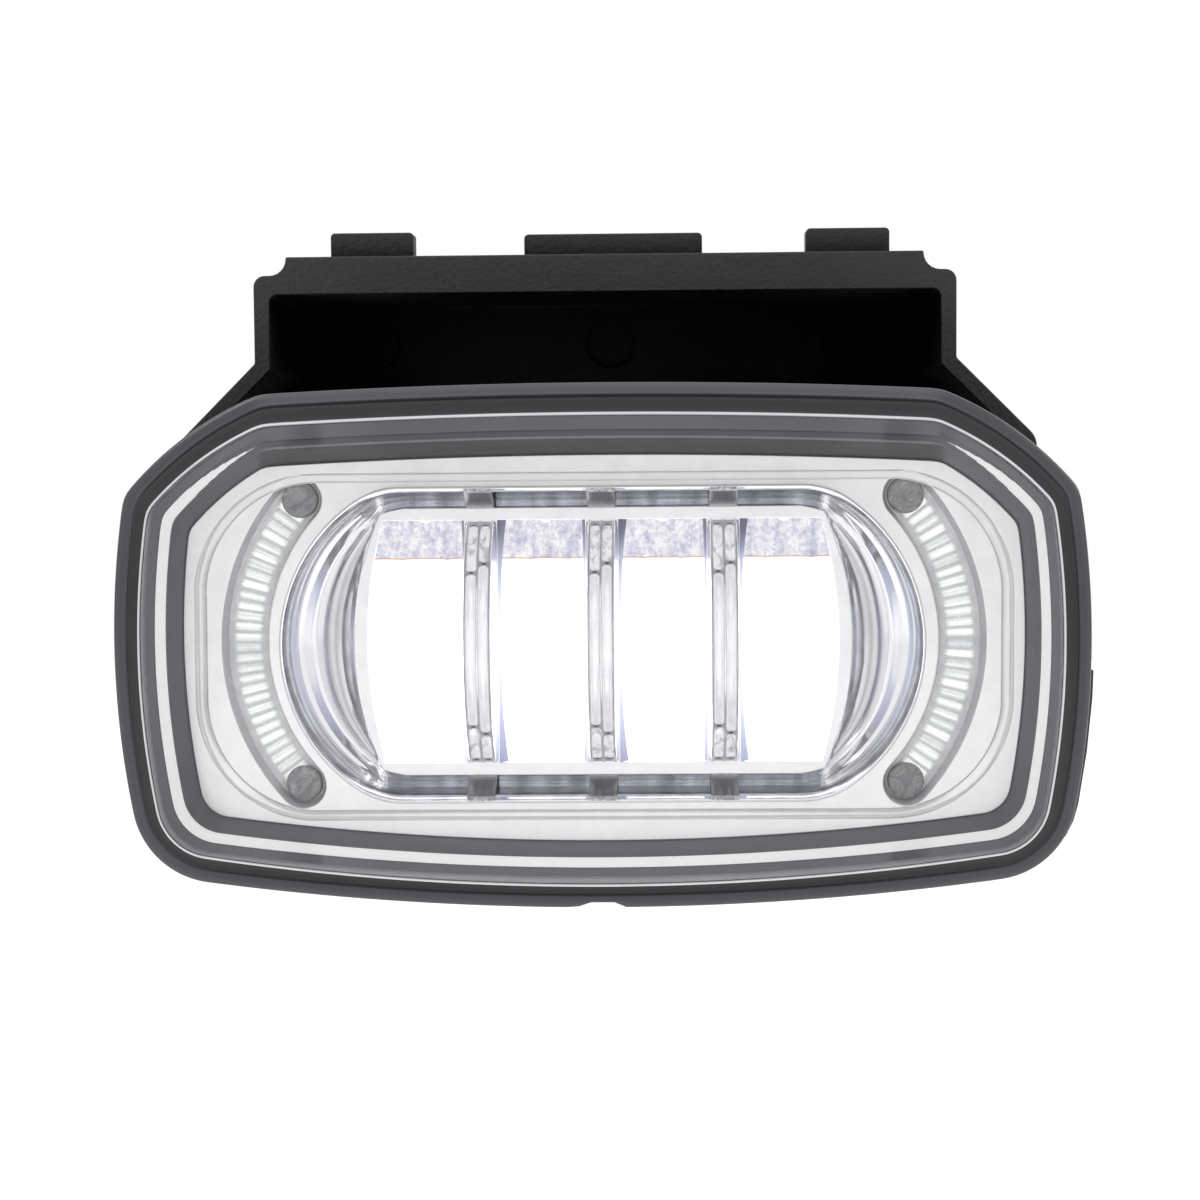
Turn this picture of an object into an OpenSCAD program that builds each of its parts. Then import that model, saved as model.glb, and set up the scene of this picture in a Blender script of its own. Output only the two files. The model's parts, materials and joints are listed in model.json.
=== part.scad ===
// LED fog light with two arc-shaped running lights, held in a tilting bracket.
//
// The lamp faces -Y, X is to the right of someone who faces it, and Z is up.
// The origin is the middle of the four bolts on the bracket's rear face.
// Every module is drawn in the lamp's own frame, where y is the depth behind
// the lens edge and z is the height over the middle of the lens, and place()
// moves that frame to the origin.

/* [Lens] */
// Width of the lens across its bowed sides
lens_w = 200.4; // [196:0.2:204]
// Height of the lens above its middle
lens_top = 54.3; // [52:0.1:56]
// Depth of the lens below its middle
lens_bottom = 53.7; // [52:0.1:56]
// Radius of the lens's lower corners
corner_r = 17.9; // [17.5:0.1:20]
// Wall of the clear lens
lens_wall = 2.6; // [2:0.1:3]
// How far the domed window stands in front of the lens edge
dome_h = 11; // [9:0.5:12]

/* [Lights] */
// Spacing of the four reflector cells, which is that of the ribs between them
cell_pitch = 25.6; // [24:0.1:26]
// Width of a rib
rib_w = 7; // [6:0.1:8]
// Height of the reflector cells
cell_h = 51.6; // [48:0.1:52]
// Outermost edge of the end cells from the middle
cell_edge = 49.2; // [48:0.1:50]
// Radius of the round ends of the oblong collar
oblong_r = 36.6; // [36:0.1:37]
// Half height of the oblong collar
oblong_h = 33.2; // [32.5:0.1:34]
// Radius that joins the collar's round ends to its flat top and bottom
oblong_join = 18; // [14:0.5:20]
// Distance from the middle to the centres of the round ends and of the arcs
end_x = 30.9; // [30:0.1:31.5]
// Radius of the running-light arcs at mid width
drl_r = 45; // [44.5:0.1:45.5]
// Half the angle that a running-light arc spans
drl_angle = 42.4; // [40:0.1:43]
// Bars on each running-light arc
drl_bars = 30; // [20:1:34]

/* [Housing] */
// Outer width of the rear tub
tub_w = 158; // [156:1:160]
// Outer height of the rear tub
tub_h = 80; // [79:0.5:81]
// Depth of the housing's rear face behind the lens edge
housing_back = 70; // [70:1:72]
// Wall of the housing
wall = 2.5; // [2:0.1:2.6]

/* [Bracket] */
// Depth of the bracket's front face behind the lens edge
bracket_front = 52; // [50:1:54]
// Depth of the bracket from its front face to its rear face
bracket_depth = 64; // [64:1:70]
// Outer width of the bracket's box
bracket_w = 157; // [156:0.5:160]
// Height of the bracket's roof over the middle of the lens
roof_z = 79.7; // [78:0.1:82]
// Outer width across the two arms
arms_w = 192.8; // [192:0.1:194]
// Wall of the arms
arm_wall = 3.4; // [3:0.1:3.5]

/* [Fixings] */
// Spacing of the bracket bolts across the lamp
bolt_dx = 116; // [112:1:120]
// Spacing of the bracket bolts up the lamp
bolt_dz = 24; // [22:1:26]
// Radius of the bracket bolt holes, for M6 bolts
bolt_r = 3.3; // [3.1:0.1:3.5]

/* [Aim] */
// Depth of the tilt axis behind the lens edge
pivot_y = 64; // [64:1:66]
// Height of the adjuster over the tilt axis
lever = 47; // [47:0.5:49]
// Distance of the adjuster from the middle
adjuster_x = 30; // [20:1:35]
// Radius of the adjuster's thread, for M6
screw_r = 3; // [2.9:0.1:3.1]
// Radial clearance of everything that turns or slides
running = 0.05; // [0.02:0.01:0.08]

/* [Hidden] */
$fn = 48;

rear_y = bracket_front + bracket_depth;
bolt_z = 36;

// Radii of the lens outline's long arcs, and where its corner cut is centred
crown_r = 1300;
sole_r = 608;
side_r = 187;
side_z = 1;
cut_r = 70;
crown_c = [0, lens_top - crown_r];
sole_c = [0, sole_r - lens_bottom];
side_c = [lens_w / 2 - side_r, side_z];
cut_c = [lens_w / 2 - 56.6, lens_top - 67];
dome_r = 900;

// Insets from the lens outline
flange_in = 7;
skirt_out = 1.4;
skirt_in = 4;
window_in = 6;
tray_out = 7.5;
tray_in = 10;
bezel_in = 11.2;
bezel_drop = 3.7;

// Depths behind the lens edge
flange_y = 3;
skirt_y = 17;
channel_y = 18;
channel_front = 8;
tray_y = 36;
bezel_y = 18.5;
collar_y = 8.5;
bezel_t = 2;
frame_y = 18;
trough_back = 56;
focal = 18;
focus_z = 24;

// The LED board hangs under the heat sink's shelf, and these are its layers
board_t = 1.6;
board_z = 27;
pad_t = 0.8;
pad_z = board_z + board_t;
shelf_z = pad_z + pad_t;
shelf_t = 3.6;
board_y = 27;
board_w = 100;
board_d = 30;
led_y = trough_back - focal;

sink_y = housing_back + 1;
sink_w = 136;
sink_z0 = -8;
sink_z1 = 39;
fin_y = sink_y + 4;
fin_depth = 20;
gate_w = 110;
gate_h = 11.5;
gate_z = 28.75;

bezel_screw = [85, 18];
sink_screw_x = 64;
sink_screw_z = [-2, 32.5];

plug = [-50, -23];
vent = [50, -23];
pin_dz = -2.5;
pin_step = 7;
pin_r = 1;
drl_board_y = 28;
driver_y = 60;
driver_w = 124;
arm_in = arms_w / 2 - arm_wall;
box_in = bracket_w / 2 - 3.5;
roof_t = 4.3;
lip_w = 142.4;
lip_z = roof_z + 4.1;
lip_r = 3.7;
tab_z = roof_z + 9.9;
flare_z = 60.1;
nut_z = lever;

// ---- Outlines -------------------------------------------------------------

function at(c, r, a) = c + r * [cos(a), sin(a)];

// Points of an arc, without the last one, so that arcs can be joined up
function arc(c, r, a0, a1, n) = [for (i = [0:n - 1]) at(c, r, a0 + (a1 - a0) * i / n)];

function bearing(c, p) = atan2(p.y - c.y, p.x - c.x);

// The crossing of two circles that lies on the given side of the line
// from the first centre to the second: 1 is left and -1 is right
function crossing(c1, r1, c2, r2, side) =
    let (d = c2 - c1, q = norm(d), a = (r1 * r1 - r2 * r2 + q * q) / (2 * q))
    c1 + a * d / q + side * sqrt(r1 * r1 - a * a) * [-d.y, d.x] / q;

// The lower corner's centre, where its arc runs smoothly into both neighbours
corner_c = crossing(sole_c, sole_r - corner_r, side_c, side_r - corner_r, 1);

// Right half of the lens outline drawn in by t, and at the top by a further drop
function half_outline(t, drop) =
    let (
        crown = crown_r - t - drop,
        cut = cut_r - t - drop * 0.43,
        top = crossing(cut_c, cut, crown_c, crown, 1),
        side = crossing(cut_c, cut, side_c, side_r - t, -1))
    concat(
        arc(sole_c, sole_r - t, -90, bearing(sole_c, corner_c), 4),
        arc(corner_c, corner_r - t, bearing(sole_c, corner_c), bearing(side_c, corner_c), 7),
        arc(side_c, side_r - t, bearing(side_c, corner_c), bearing(side_c, side), 6),
        arc(cut_c, cut, bearing(cut_c, side), bearing(cut_c, top), 4),
        arc(crown_c, crown, bearing(crown_c, top), 90, 3),
        [at(crown_c, crown, 90)]);

function flip_x(points) = [for (i = [len(points) - 1:-1:0]) [-points[i].x, points[i].y]];

function lens_outline(t, drop = 0) =
    let (half = half_outline(t, drop), left = flip_x(half))
    concat(half, [for (i = [1:len(left) - 2]) left[i]]);

// The collar's outline drawn in by t: round ends cut off flat above and below
function oblong(t) =
    let (
        up = oblong_h - oblong_join,
        along = sqrt(pow(oblong_r - oblong_join, 2) - up * up),
        a = atan2(up, along),
        join = oblong_join - t,
        half = concat(
            arc([end_x + along, -up], join, -90, -a, 4),
            arc([end_x, 0], oblong_r - t, -a, a, 10),
            arc([end_x + along, up], join, a, 90, 4),
            [at([end_x + along, up], join, 90)]))
    concat(half, flip_x(half));

// A band round the right-hand centre with round ends
function arc_band(r0, r1, a) =
    let (c = [end_x, 0], m = (r0 + r1) / 2, w = (r1 - r0) / 2)
    concat(
        arc(c, r1, -a, a, 14),
        arc(at(c, m, a), w, a, a + 180, 6),
        arc(c, r0, a, -a, 14),
        arc(at(c, m, -a), w, 180 - a, 360 - a, 6));

function rounded(w, h, r) = concat(
    arc([w / 2 - r, h / 2 - r], r, 0, 90, 4), [[w / 2 - r, h / 2]],
    arc([r - w / 2, h / 2 - r], r, 90, 180, 4), [[-w / 2, h / 2 - r]],
    arc([r - w / 2, r - h / 2], r, 180, 270, 4), [[r - w / 2, -h / 2]],
    arc([w / 2 - r, r - h / 2], r, 270, 360, 4), [[w / 2, r - h / 2]]);

// An upright shape with two round corners at its top
function arch(half_w, z0, z1, r) = concat(
    [[half_w, z0]],
    arc([half_w - r, z1 - r], r, 0, 90, 6), [[half_w - r, z1]],
    arc([r - half_w, z1 - r], r, 90, 180, 6), [[-half_w, z1 - r], [-half_w, z0]]);

// Outline of the lip on the roof's front edge, whose ends run down in a hollow
function lip() = let (half = concat(
    [[lip_w / 2 + lip_r, roof_z - 1], [lip_w / 2 + lip_r, roof_z]],
    arc([lip_w / 2 + lip_r, lip_z - 0.4], lip_z - 0.4 - roof_z, -90, -180, 6),
    [[lip_w / 2, lip_z - 0.4], [lip_w / 2, lip_z]]))
    concat(half, flip_x(half));

// Depth of the reflector's parabola at height z
function trough_y(z) = trough_back - pow(z - focus_z, 2) / (4 * focal);

// Left and right edges of reflector cell i of 4
function cell_x0(i) = i == 0 ? -cell_edge : (i - 2) * cell_pitch + rib_w / 2;
function cell_x1(i) = i == 3 ? cell_edge : (i - 1) * cell_pitch - rib_w / 2;

// ---- Helpers --------------------------------------------------------------

module place() { translate([0, -rear_y, -bolt_z]) children(); }

// A flat outline in X and Z, filled from depth y0 to depth y1
module slab(y0, y1) { translate([0, y1, 0]) rotate([90, 0, 0]) linear_extrude(y1 - y0) children(); }

// A flat outline in Y and Z, filled from x0 to x1
module plate(x0, x1) { translate([x0, 0, 0]) rotate([90, 0, 90]) linear_extrude(x1 - x0) children(); }

// A round bar along Y, and one along X
module rod(y0, y1, r, x, z) { translate([x, y0, z]) rotate([-90, 0, 0]) cylinder(h = y1 - y0, r = r); }
module axle(x0, x1, r, y, z) { translate([x0, y, z]) rotate([0, 90, 0]) cylinder(h = x1 - x0, r = r); }

module both_sides() {
    children();
    mirror([1, 0, 0]) children();
}

module lens_ring(t0, t1) {
    difference() {
        polygon(lens_outline(t0));
        polygon(lens_outline(t1));
    }
}

module frame(w, h, r, rim) {
    difference() {
        polygon(rounded(w, h, r));
        polygon(rounded(w - 2 * rim, h - 2 * rim, r - rim));
    }
}

// The ball whose front is the lens's dome, smaller by t
module dome(t) { translate([0, dome_r - dome_h, 0]) sphere(r = dome_r - t, $fn = 200); }

// Where the rear screws of the bezel and of the heat sink stand
module at_bezel_screws() {
    for (sx = [-1, 1], sz = [-1, 1]) translate([sx * bezel_screw.x, 0, sz * bezel_screw.y]) children();
}
module at_sink_screws() {
    for (sx = [-1, 1], z = sink_screw_z) translate([sx * sink_screw_x, 0, z]) children();
}
module at_driver_screws() { for (x = [-30, 56], z = [-31, -9]) translate([x, 0, z]) children(); }
module at_board_screws() { for (i = [-1:1]) translate([i * cell_pitch, led_y + 14, 0]) children(); }
module at_pins() { for (i = [-1:1]) translate([plug.x + i * pin_step, 0, plug.y + pin_dz]) children(); }
module at_bolts() {
    for (sx = [-1, 1], sz = [-1, 1]) translate([sx * bolt_dx / 2, 0, bolt_z + sz * bolt_dz / 2]) children();
}

// ---- Lamp -----------------------------------------------------------------

module lens_cover() {
    snap_z = -1;
    color("white", 0.35) place() {
        difference() {
            union() {
                slab(0, flange_y) lens_ring(0, flange_in);
                slab(flange_y - 1, skirt_y) lens_ring(skirt_out, skirt_in);
                intersection() {
                    slab(-dome_h - 1, flange_y) polygon(lens_outline(window_in));
                    dome(0);
                }
            }
            intersection() {
                slab(-dome_h, flange_y + 1) polygon(lens_outline(window_in + lens_wall));
                dome(lens_wall);
            }
        }
        // A snap tab on each side drops into a window of the housing's rim
        slab(10, 15) intersection() {
            lens_ring(-1.2, skirt_out + 0.5);
            translate([-lens_w, snap_z - 4.6]) square([2 * lens_w, 9.2]);
        }
    }
}

module lens_seal() {
    color("#151515") place() slab(skirt_y, channel_y) lens_ring(skirt_out - 0.2, skirt_in + 0.2);
}

module housing() {
    tub_in_w = tub_w - 2 * wall;
    tub_in_h = tub_h - 2 * wall;
    rail_out = 2.2;
    rail_z = [-41, -6];
    boss_x = 91.5;
    boss_r = 9;
    ear_x = 9.5;
    ear_t = 4;
    ear_top = nut_z + 6;
    color("#1c1c1e") place() difference() {
        union() {
            // Rim with the channel that takes the lens skirt
            slab(channel_y, channel_y + wall) lens_ring(0, tray_in);
            slab(channel_front, channel_y + 1) lens_ring(0, 1.1);
            slab(channel_front, channel_y + 1) lens_ring(4.3, 6);
            // Rails along the two sides, past the lens edge
            slab(10, channel_y + 1) intersection() {
                lens_ring(-rail_out, 0.5);
                translate([-lens_w, rail_z[0]]) square([2 * lens_w, rail_z[1] - rail_z[0]]);
            }
            // Shallow tray behind the bezel
            slab(channel_y, tray_y) lens_ring(tray_out, tray_in);
            slab(tray_y - wall, tray_y) difference() {
                polygon(lens_outline(tray_out));
                polygon(rounded(tub_in_w, tub_in_h, 8));
            }
            // Deep tub behind the reflector
            slab(tray_y - wall, housing_back) frame(tub_w, tub_h, 10, wall);
            slab(housing_back - wall, housing_back) polygon(rounded(tub_w, tub_h, 10));
            // Side bosses for the pivot screws
            both_sides() axle(tub_w / 2 - 2, boss_x, boss_r, pivot_y, 0);
            // Ears that hold the adjuster nut's pins
            for (s = [-1, 1]) translate([adjuster_x + s * ear_x - ear_t / 2, pivot_y - 8, tub_h / 2 - 1])
                cube([ear_t, 14, ear_top - tub_h / 2 + 1]);
            // Screw bosses inside the rear wall
            at_sink_screws() rod(60, housing_back - 1, 3.5, 0, 0);
            at_driver_screws() rod(driver_y + board_t, housing_back - 1, 3, 0, 0);
        }
        // Windows for the lens's snap tabs
        slab(9, 16) intersection() {
            lens_ring(-3, 2.5);
            translate([-lens_w, -6]) square([2 * lens_w, 10]);
        }
        both_sides() axle(80, 92, 4.2, pivot_y, 0);
        axle(adjuster_x - 12, adjuster_x + 12, screw_r + running, pivot_y, nut_z - 0.1);
        translate([adjuster_x - 12, pivot_y - screw_r - running, nut_z - 0.1])
            cube([24, 2 * (screw_r + running), 10]);
        // Openings in the rear wall for the shelf, the plug's core and the vent
        slab(housing_back - wall - 1, housing_back + 1)
            translate([0, gate_z]) polygon(rounded(gate_w, gate_h, 2));
        slab(housing_back - wall - 1, housing_back + 1)
            translate([plug.x, plug.y + pin_dz]) polygon(rounded(20.4, 8.4, 2));
        rod(housing_back - wall - 1, housing_back + 1, 3.1, vent.x, vent.y);
        at_bezel_screws() rod(tray_y - wall - 1, tray_y + 1, 1.7, 0, 0);
        at_sink_screws() rod(61, housing_back + 1, 1.55, 0, 0);
        at_driver_screws() rod(driver_y, housing_back - 2, 1.3, 0, 0);
    }
}

module bezel() {
    collar_wall = 1.8;
    block_z0 = cell_h / 2 + 3;
    block_z1 = oblong_h - collar_wall + 0.4;
    step_y = bezel_y - 1;
    step_w = 170;
    step_h = 72;
    step_z = -1;
    step_r = 25;
    color("gainsboro") place() {
        difference() {
            union() {
                slab(bezel_y, bezel_y + bezel_t) polygon(lens_outline(bezel_in, bezel_drop));
                // The plate's middle stands a step nearer the front
                slab(step_y, bezel_y + 0.5) translate([0, step_z]) polygon(rounded(step_w, step_h, step_r));
                slab(collar_y, bezel_y + 2 * bezel_t) polygon(oblong(0));
                both_sides() slab(bezel_y, 25) polygon(arc_band(drl_r - 6.2, drl_r + 6.2, drl_angle));
                at_bezel_screws() rod(bezel_y + 1, tray_y - wall, 3.4, 0, 0);
            }
            slab(collar_y - 1, bezel_y + bezel_t) polygon(oblong(collar_wall));
            slab(bezel_y - 1, 23) square([2 * cell_edge + 6.4, cell_h + 6], center = true);
            both_sides() slab(step_y - 1, 26) polygon(arc_band(drl_r - 5, drl_r + 5, drl_angle));
            at_bezel_screws() rod(24, tray_y, 1.3, 0, 0);
        }
        // Blocks that bridge the trench above and below each rib
        slab(bezel_y - bezel_t, bezel_y + bezel_t + 0.5) for (i = [-1:1], s = [-1, 1])
            translate([i * cell_pitch, s * (block_z0 + block_z1) / 2])
                square([rib_w - 1.1, block_z1 - block_z0], center = true);
    }
}

module reflector() {
    zs = [for (i = [0:12]) -cell_h / 2 + i * (focus_z + cell_h / 2) / 12];
    curve = [for (z = zs) [trough_y(z), z]];
    color("silver") place() {
        slab(frame_y, frame_y + 3) difference() {
            square([2 * cell_edge + 5.6, cell_h + 5.2], center = true);
            for (i = [0:3]) translate([cell_x0(i), -cell_h / 2]) square([cell_x1(i) - cell_x0(i), cell_h]);
        }
        plate(-cell_edge - 2, cell_edge + 2) polygon(concat(
            curve, [for (i = [12:-1:0]) curve[i] + [2, 0]]));
        for (x = [-cell_edge - 2, cell_edge]) plate(x, x + 2)
            polygon(concat([[frame_y + 2, focus_z]], [[frame_y + 2, -cell_h / 2]], curve));
        for (i = [-1:1]) plate(i * cell_pitch - rib_w / 2, i * cell_pitch + rib_w / 2)
            polygon(concat([[frame_y + 2, focus_z]], [[frame_y + 2, -cell_h / 2]], curve));
    }
}

// Ribs whose fronts bow forward, each with two flutes that follow the bow
module rib_trims() {
    flute_r = 1.15;
    flute_a = 46;
    bow_r = 29.7;
    bow_y = 2 + bow_r;
    color("silver") place() for (i = [-1:1]) translate([i * cell_pitch, 0, 0]) difference() {
        intersection() {
            slab(0, frame_y) square([rib_w, cell_h + 0.4], center = true);
            axle(-rib_w, rib_w, bow_r, bow_y, 0);
        }
        for (s = [-1, 1]) translate([s * 1.5, bow_y, 0]) rotate([0, 90, 0]) {
            rotate([0, 0, 270 - flute_a]) rotate_extrude(angle = 2 * flute_a)
                translate([bow_r, 0]) circle(r = flute_r);
            for (e = [-1, 1]) rotate([0, 0, 270 + e * flute_a]) translate([bow_r, 0, 0]) sphere(r = flute_r);
        }
    }
}

module led_board() {
    color("white") place() difference() {
        translate([-board_w / 2, board_y, board_z]) cube([board_w, board_d, board_t]);
        at_board_screws() translate([0, 0, board_z - 1]) cylinder(h = board_t + 2, r = 1.4);
    }
}

module main_leds() {
    color("khaki") place() for (i = [0:3]) translate([(cell_x0(i) + cell_x1(i)) / 2, led_y, board_z]) {
        translate([-2, -2, -0.8]) cube([4, 4, 0.8]);
        translate([0, 0, -0.8]) difference() {
            sphere(r = 1.6);
            translate([-3, -3, 0.2]) cube([6, 6, 6]);
        }
    }
}

module thermal_pad() {
    color("lightsteelblue") place() difference() {
        translate([-board_w / 2, board_y, pad_z]) cube([board_w, board_d, pad_t]);
        at_board_screws() translate([0, 0, pad_z - 1]) cylinder(h = pad_t + 2, r = 1.6);
    }
}

module heat_sink() {
    fins = 17;
    fin_step = 6.6;
    color("#3c3e42") place() difference() {
        union() {
            translate([-board_w / 2 - 2, board_y - 1, shelf_z])
                cube([board_w + 4, sink_y - board_y + 2, shelf_t]);
            translate([-sink_w / 2, sink_y, sink_z0]) cube([sink_w, fin_y - sink_y, sink_z1 - sink_z0]);
            for (i = [0:fins - 1]) translate([(i - (fins - 1) / 2) * fin_step - 1, fin_y - 1, sink_z0])
                cube([2, fin_depth + 1, sink_z1 - sink_z0]);
        }
        at_sink_screws() rod(sink_y - 1, fin_y + 1, 1.8, 0, 0);
        at_board_screws() translate([0, 0, shelf_z - 1]) cylinder(h = 3.4, r = 1.25);
    }
}

module heat_sink_gasket() {
    color("#151515") place() slab(housing_back, sink_y) translate([0, gate_z])
        frame(gate_w + 7, gate_h + 7, 4, 3);
}

// A pan-head screw along Y whose head is at depth y, pointing forward
module screw_forward(y, shank, r, head_r) {
    difference() {
        union() {
            rod(y - shank, y + 0.5, r, 0, 0);
            rod(y, y + 2.2, head_r, 0, 0);
        }
        for (a = [0, 90]) translate([0, y + 2, 0]) rotate([0, a, 0]) cube([2.8, 2, 0.7], center = true);
    }
}

module heat_sink_screws() { color("lightgray") place() at_sink_screws() screw_forward(fin_y, 12, 1.5, 3); }
module bezel_screws() { color("lightgray") place() at_bezel_screws() screw_forward(tray_y, 11, 1.25, 2.8); }

// These point backwards, from the board into the housing's rear wall
module driver_screws() {
    color("lightgray") place() at_driver_screws() {
        rod(driver_y - 0.5, driver_y + 6.5, 1.25, 0, 0);
        rod(driver_y - 2, driver_y, 2.4, 0, 0);
    }
}

module led_board_screws() {
    color("lightgray") place() at_board_screws() {
        translate([0, 0, board_z - 0.5]) cylinder(h = 4.8, r = 1.2);
        translate([0, 0, board_z - 1.6]) cylinder(h = 1.6, r = 2.3);
    }
}

module driver_board() {
    color("darkgreen") place() difference() {
        slab(driver_y, driver_y + board_t) translate([0, -20]) polygon(rounded(driver_w, 28, 1.5));
        at_driver_screws() rod(driver_y - 1, driver_y + 3, 1.4, 0, 0);
        at_pins() rod(driver_y - 1, driver_y + 3, pin_r + 0.1, 0, 0);
    }
}

module driver_parts() {
    color("dimgray") place() {
        for (x = [8, 18]) rod(driver_y - 9, driver_y, 4, x, -20);
        translate([-2, driver_y - 5, -28]) cube([6, 5, 6]);
        translate([26, driver_y - 4.5, -26]) cube([11, 4.5, 11]);
        translate([-26, driver_y - 1.6, -20]) cube([8, 1.6, 8]);
        for (i = [0:2]) translate([-14 + i * 4, driver_y - 1.2, -12]) cube([2.4, 1.2, 1.6]);
    }
}

// Glowing arc: a clear body with a row of bars across its front and a round foot at each end
module drl_guide() {
    bar_step = 2 * (drl_angle - 5.5) / (drl_bars - 1);
    color("honeydew") place() {
        slab(21.5, 26) polygon(arc_band(drl_r - 3, drl_r + 3, drl_angle - 4));
        for (i = [0:drl_bars - 1]) translate([end_x, 0, 0])
            rotate([0, (drl_angle - 5.5) - i * bar_step, 0])
                translate([drl_r - 2.9, 20.6, -0.65]) cube([5.8, 1.2, 1.3]);
        for (s = [-1, 1]) translate([end_x, 0, 0]) rotate([0, s * drl_angle, 0])
            rod(19.6, 26, 3.9, drl_r, 0);
    }
}

module drl_board() {
    color("white") place() slab(drl_board_y, drl_board_y + board_t)
        polygon(arc_band(drl_r - 5.5, drl_r + 5.5, drl_angle));
}

module drl_guide_right() { drl_guide(); }
module drl_guide_left() { mirror([1, 0, 0]) drl_guide(); }
module drl_board_right() { drl_board(); }
module drl_board_left() { mirror([1, 0, 0]) drl_board(); }

module drl_leds() {
    color("khaki") place() both_sides() for (i = [0:5]) translate([end_x, 0, 0])
        rotate([0, (i - 2.5) * 13.4, 0]) translate([drl_r - 1.5, drl_board_y - 1, -1.5]) cube([3, 1, 3]);
}

// Two insulated wires from each arc's board back to the driver
module drl_leads() {
    lead_r = 0.8;
    lead_x = 69.5;
    color("firebrick") place() both_sides() for (z = [-19, -22]) {
        rod(drl_board_y + board_t, driver_y + lead_r, lead_r, lead_x, z);
        translate([lead_x, driver_y + lead_r, z]) sphere(r = lead_r);
        axle(driver_w / 2, lead_x, lead_r, driver_y + lead_r, z);
    }
}

module connector_socket() {
    face_y = housing_back + 1;
    color("#202022") place() {
        difference() {
            union() {
                slab(face_y, face_y + 2.5) translate(plug) polygon(rounded(34, 23, 3));
                slab(face_y, face_y + 19) translate(plug) polygon(rounded(28, 17, 3));
                slab(housing_back - wall - 2, face_y + 1) translate([plug.x, plug.y + pin_dz])
                    polygon(rounded(20, 8, 1.8));
            }
            slab(face_y + 3, face_y + 20) translate(plug) polygon(rounded(24, 13, 2));
            at_pins() rod(housing_back - 6, face_y + 4, pin_r + 0.02, 0, 0);
        }
        // Ramp that the plug's latch clicks over
        translate([plug.x - 4, face_y + 9, plug.y + 8.4]) cube([8, 4, 1.8]);
    }
}

module connector_terminals() {
    color("gold") place() at_pins() rod(driver_y - 1.2, housing_back + 16, pin_r, 0, 0);
}

module connector_gasket() {
    color("#a0522d") place() slab(housing_back, housing_back + 1) translate(plug) frame(31, 20, 3, 2.4);
}

module breather_vent() {
    color("#2c2c2e") place() difference() {
        union() {
            rod(housing_back - 4, housing_back + 1, 3, vent.x, vent.y);
            rod(housing_back, housing_back + 4, 7, vent.x, vent.y);
        }
        rod(housing_back - 5, housing_back + 2, 1.6, vent.x, vent.y);
        for (a = [0:60:300]) translate([vent.x, housing_back + 1.6, vent.y]) rotate([0, a, 0])
            translate([6, 0, 0]) cube([3, 1.6, 1.6], center = true);
    }
}

// ---- Bracket --------------------------------------------------------------

module bracket() {
    half = bracket_w / 2;
    arm_out = arms_w / 2;
    skew = tan(22.5);
    elbow_z = flare_z - (arm_out - half);
    flare_back = 100;
    foot_r = 12;
    elbow_r = 5;
    pocket_z = 30;
    back_t = 3;
    skirt_z = 14;
    tab_y = 60;
    side_tab_x = [-52.6, 54.9];
    mid_tab_x = 2;
    color("#2a2a2c") place() difference() {
        union() {
            // Roof and side walls of the box
            slab(bracket_front, rear_y) difference() {
                polygon(arch(half, flare_z, roof_z, 2.5));
                polygon(arch(box_in, flare_z - 1, roof_z - roof_t, 2));
            }
            // Lip along the roof's front edge
            slab(bracket_front, bracket_front + 3.5) polygon(lip());
            // Side walls that flare out at 45 degrees and run down as arms
            intersection() {
                slab(bracket_front, flare_back) both_sides() polygon(concat(
                    [[half, flare_z + 1], [half, flare_z]],
                    arc([arm_out - elbow_r, elbow_z - elbow_r * skew], elbow_r, 45, 0, 5),
                    [[arm_out, elbow_z - elbow_r * skew], [arm_out, -foot_r - 1],
                    [arm_in, -foot_r - 1], [arm_in, elbow_z - arm_wall * skew],
                    [box_in, flare_z - (half - box_in) * skew], [box_in, flare_z + 1]]));
                plate(-arms_w, arms_w) polygon(concat(
                    [[bracket_front, flare_z + 2]],
                    arc([pivot_y, 0], foot_r, 180, 360, 10),
                    [[pivot_y + foot_r, 0], [flare_back, 32], [flare_back, flare_z + 2]]));
            }
            // Walls that close the flared pockets at the back
            slab(flare_back - back_t, flare_back) both_sides() polygon([
                [box_in, pocket_z], [arm_out - 1, pocket_z], [arm_out - 1, elbow_z],
                [half, flare_z - 1], [box_in, flare_z - 1]]);
            // Deeper side walls behind the pockets, and the rear wall
            both_sides() translate([box_in, flare_back - back_t, skirt_z])
                cube([half - box_in, rear_y - flare_back + back_t, roof_z - skirt_z - 6]);
            slab(rear_y - back_t, rear_y) polygon(arch(half, skirt_z, roof_z, 2.5));
            at_bolts() rod(rear_y - 8, rear_y - 1, 8, 0, 0);
            rod(rear_y - 12, rear_y - 1, 9.5, adjuster_x, nut_z);
            // Locating tabs behind the lip
            for (x = side_tab_x) slab(tab_y, tab_y + 7) translate([x, 0])
                polygon(arch(9.4, roof_z - 1, tab_z, 1));
            slab(tab_y, tab_y + 10) translate([mid_tab_x, 0])
                polygon(arch(20.1, roof_z - 1, tab_z - 0.7, 1));
        }
        // Coring under the middle tab
        for (i = [-1:1]) translate([mid_tab_x + i * 13 - 5, tab_y + 2, roof_z - roof_t - 1])
            cube([10, 6, 11]);
        at_bolts() rod(rear_y - 9, rear_y + 1, 5, 0, 0);
        rod(rear_y - 13, rear_y - 6, 6, adjuster_x, nut_z);
        rod(rear_y - 6.5, rear_y + 1, 6.3, adjuster_x, nut_z);
        both_sides() axle(arm_in - 1, arm_out + 1, 6, pivot_y, 0);
        // Shallow marks of the mould's ejector pins
        for (i = [-1:1]) rod(rear_y - 4, rear_y - 2.8, 5.85, i * bolt_dx / 2, 66);
    }
}

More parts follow.
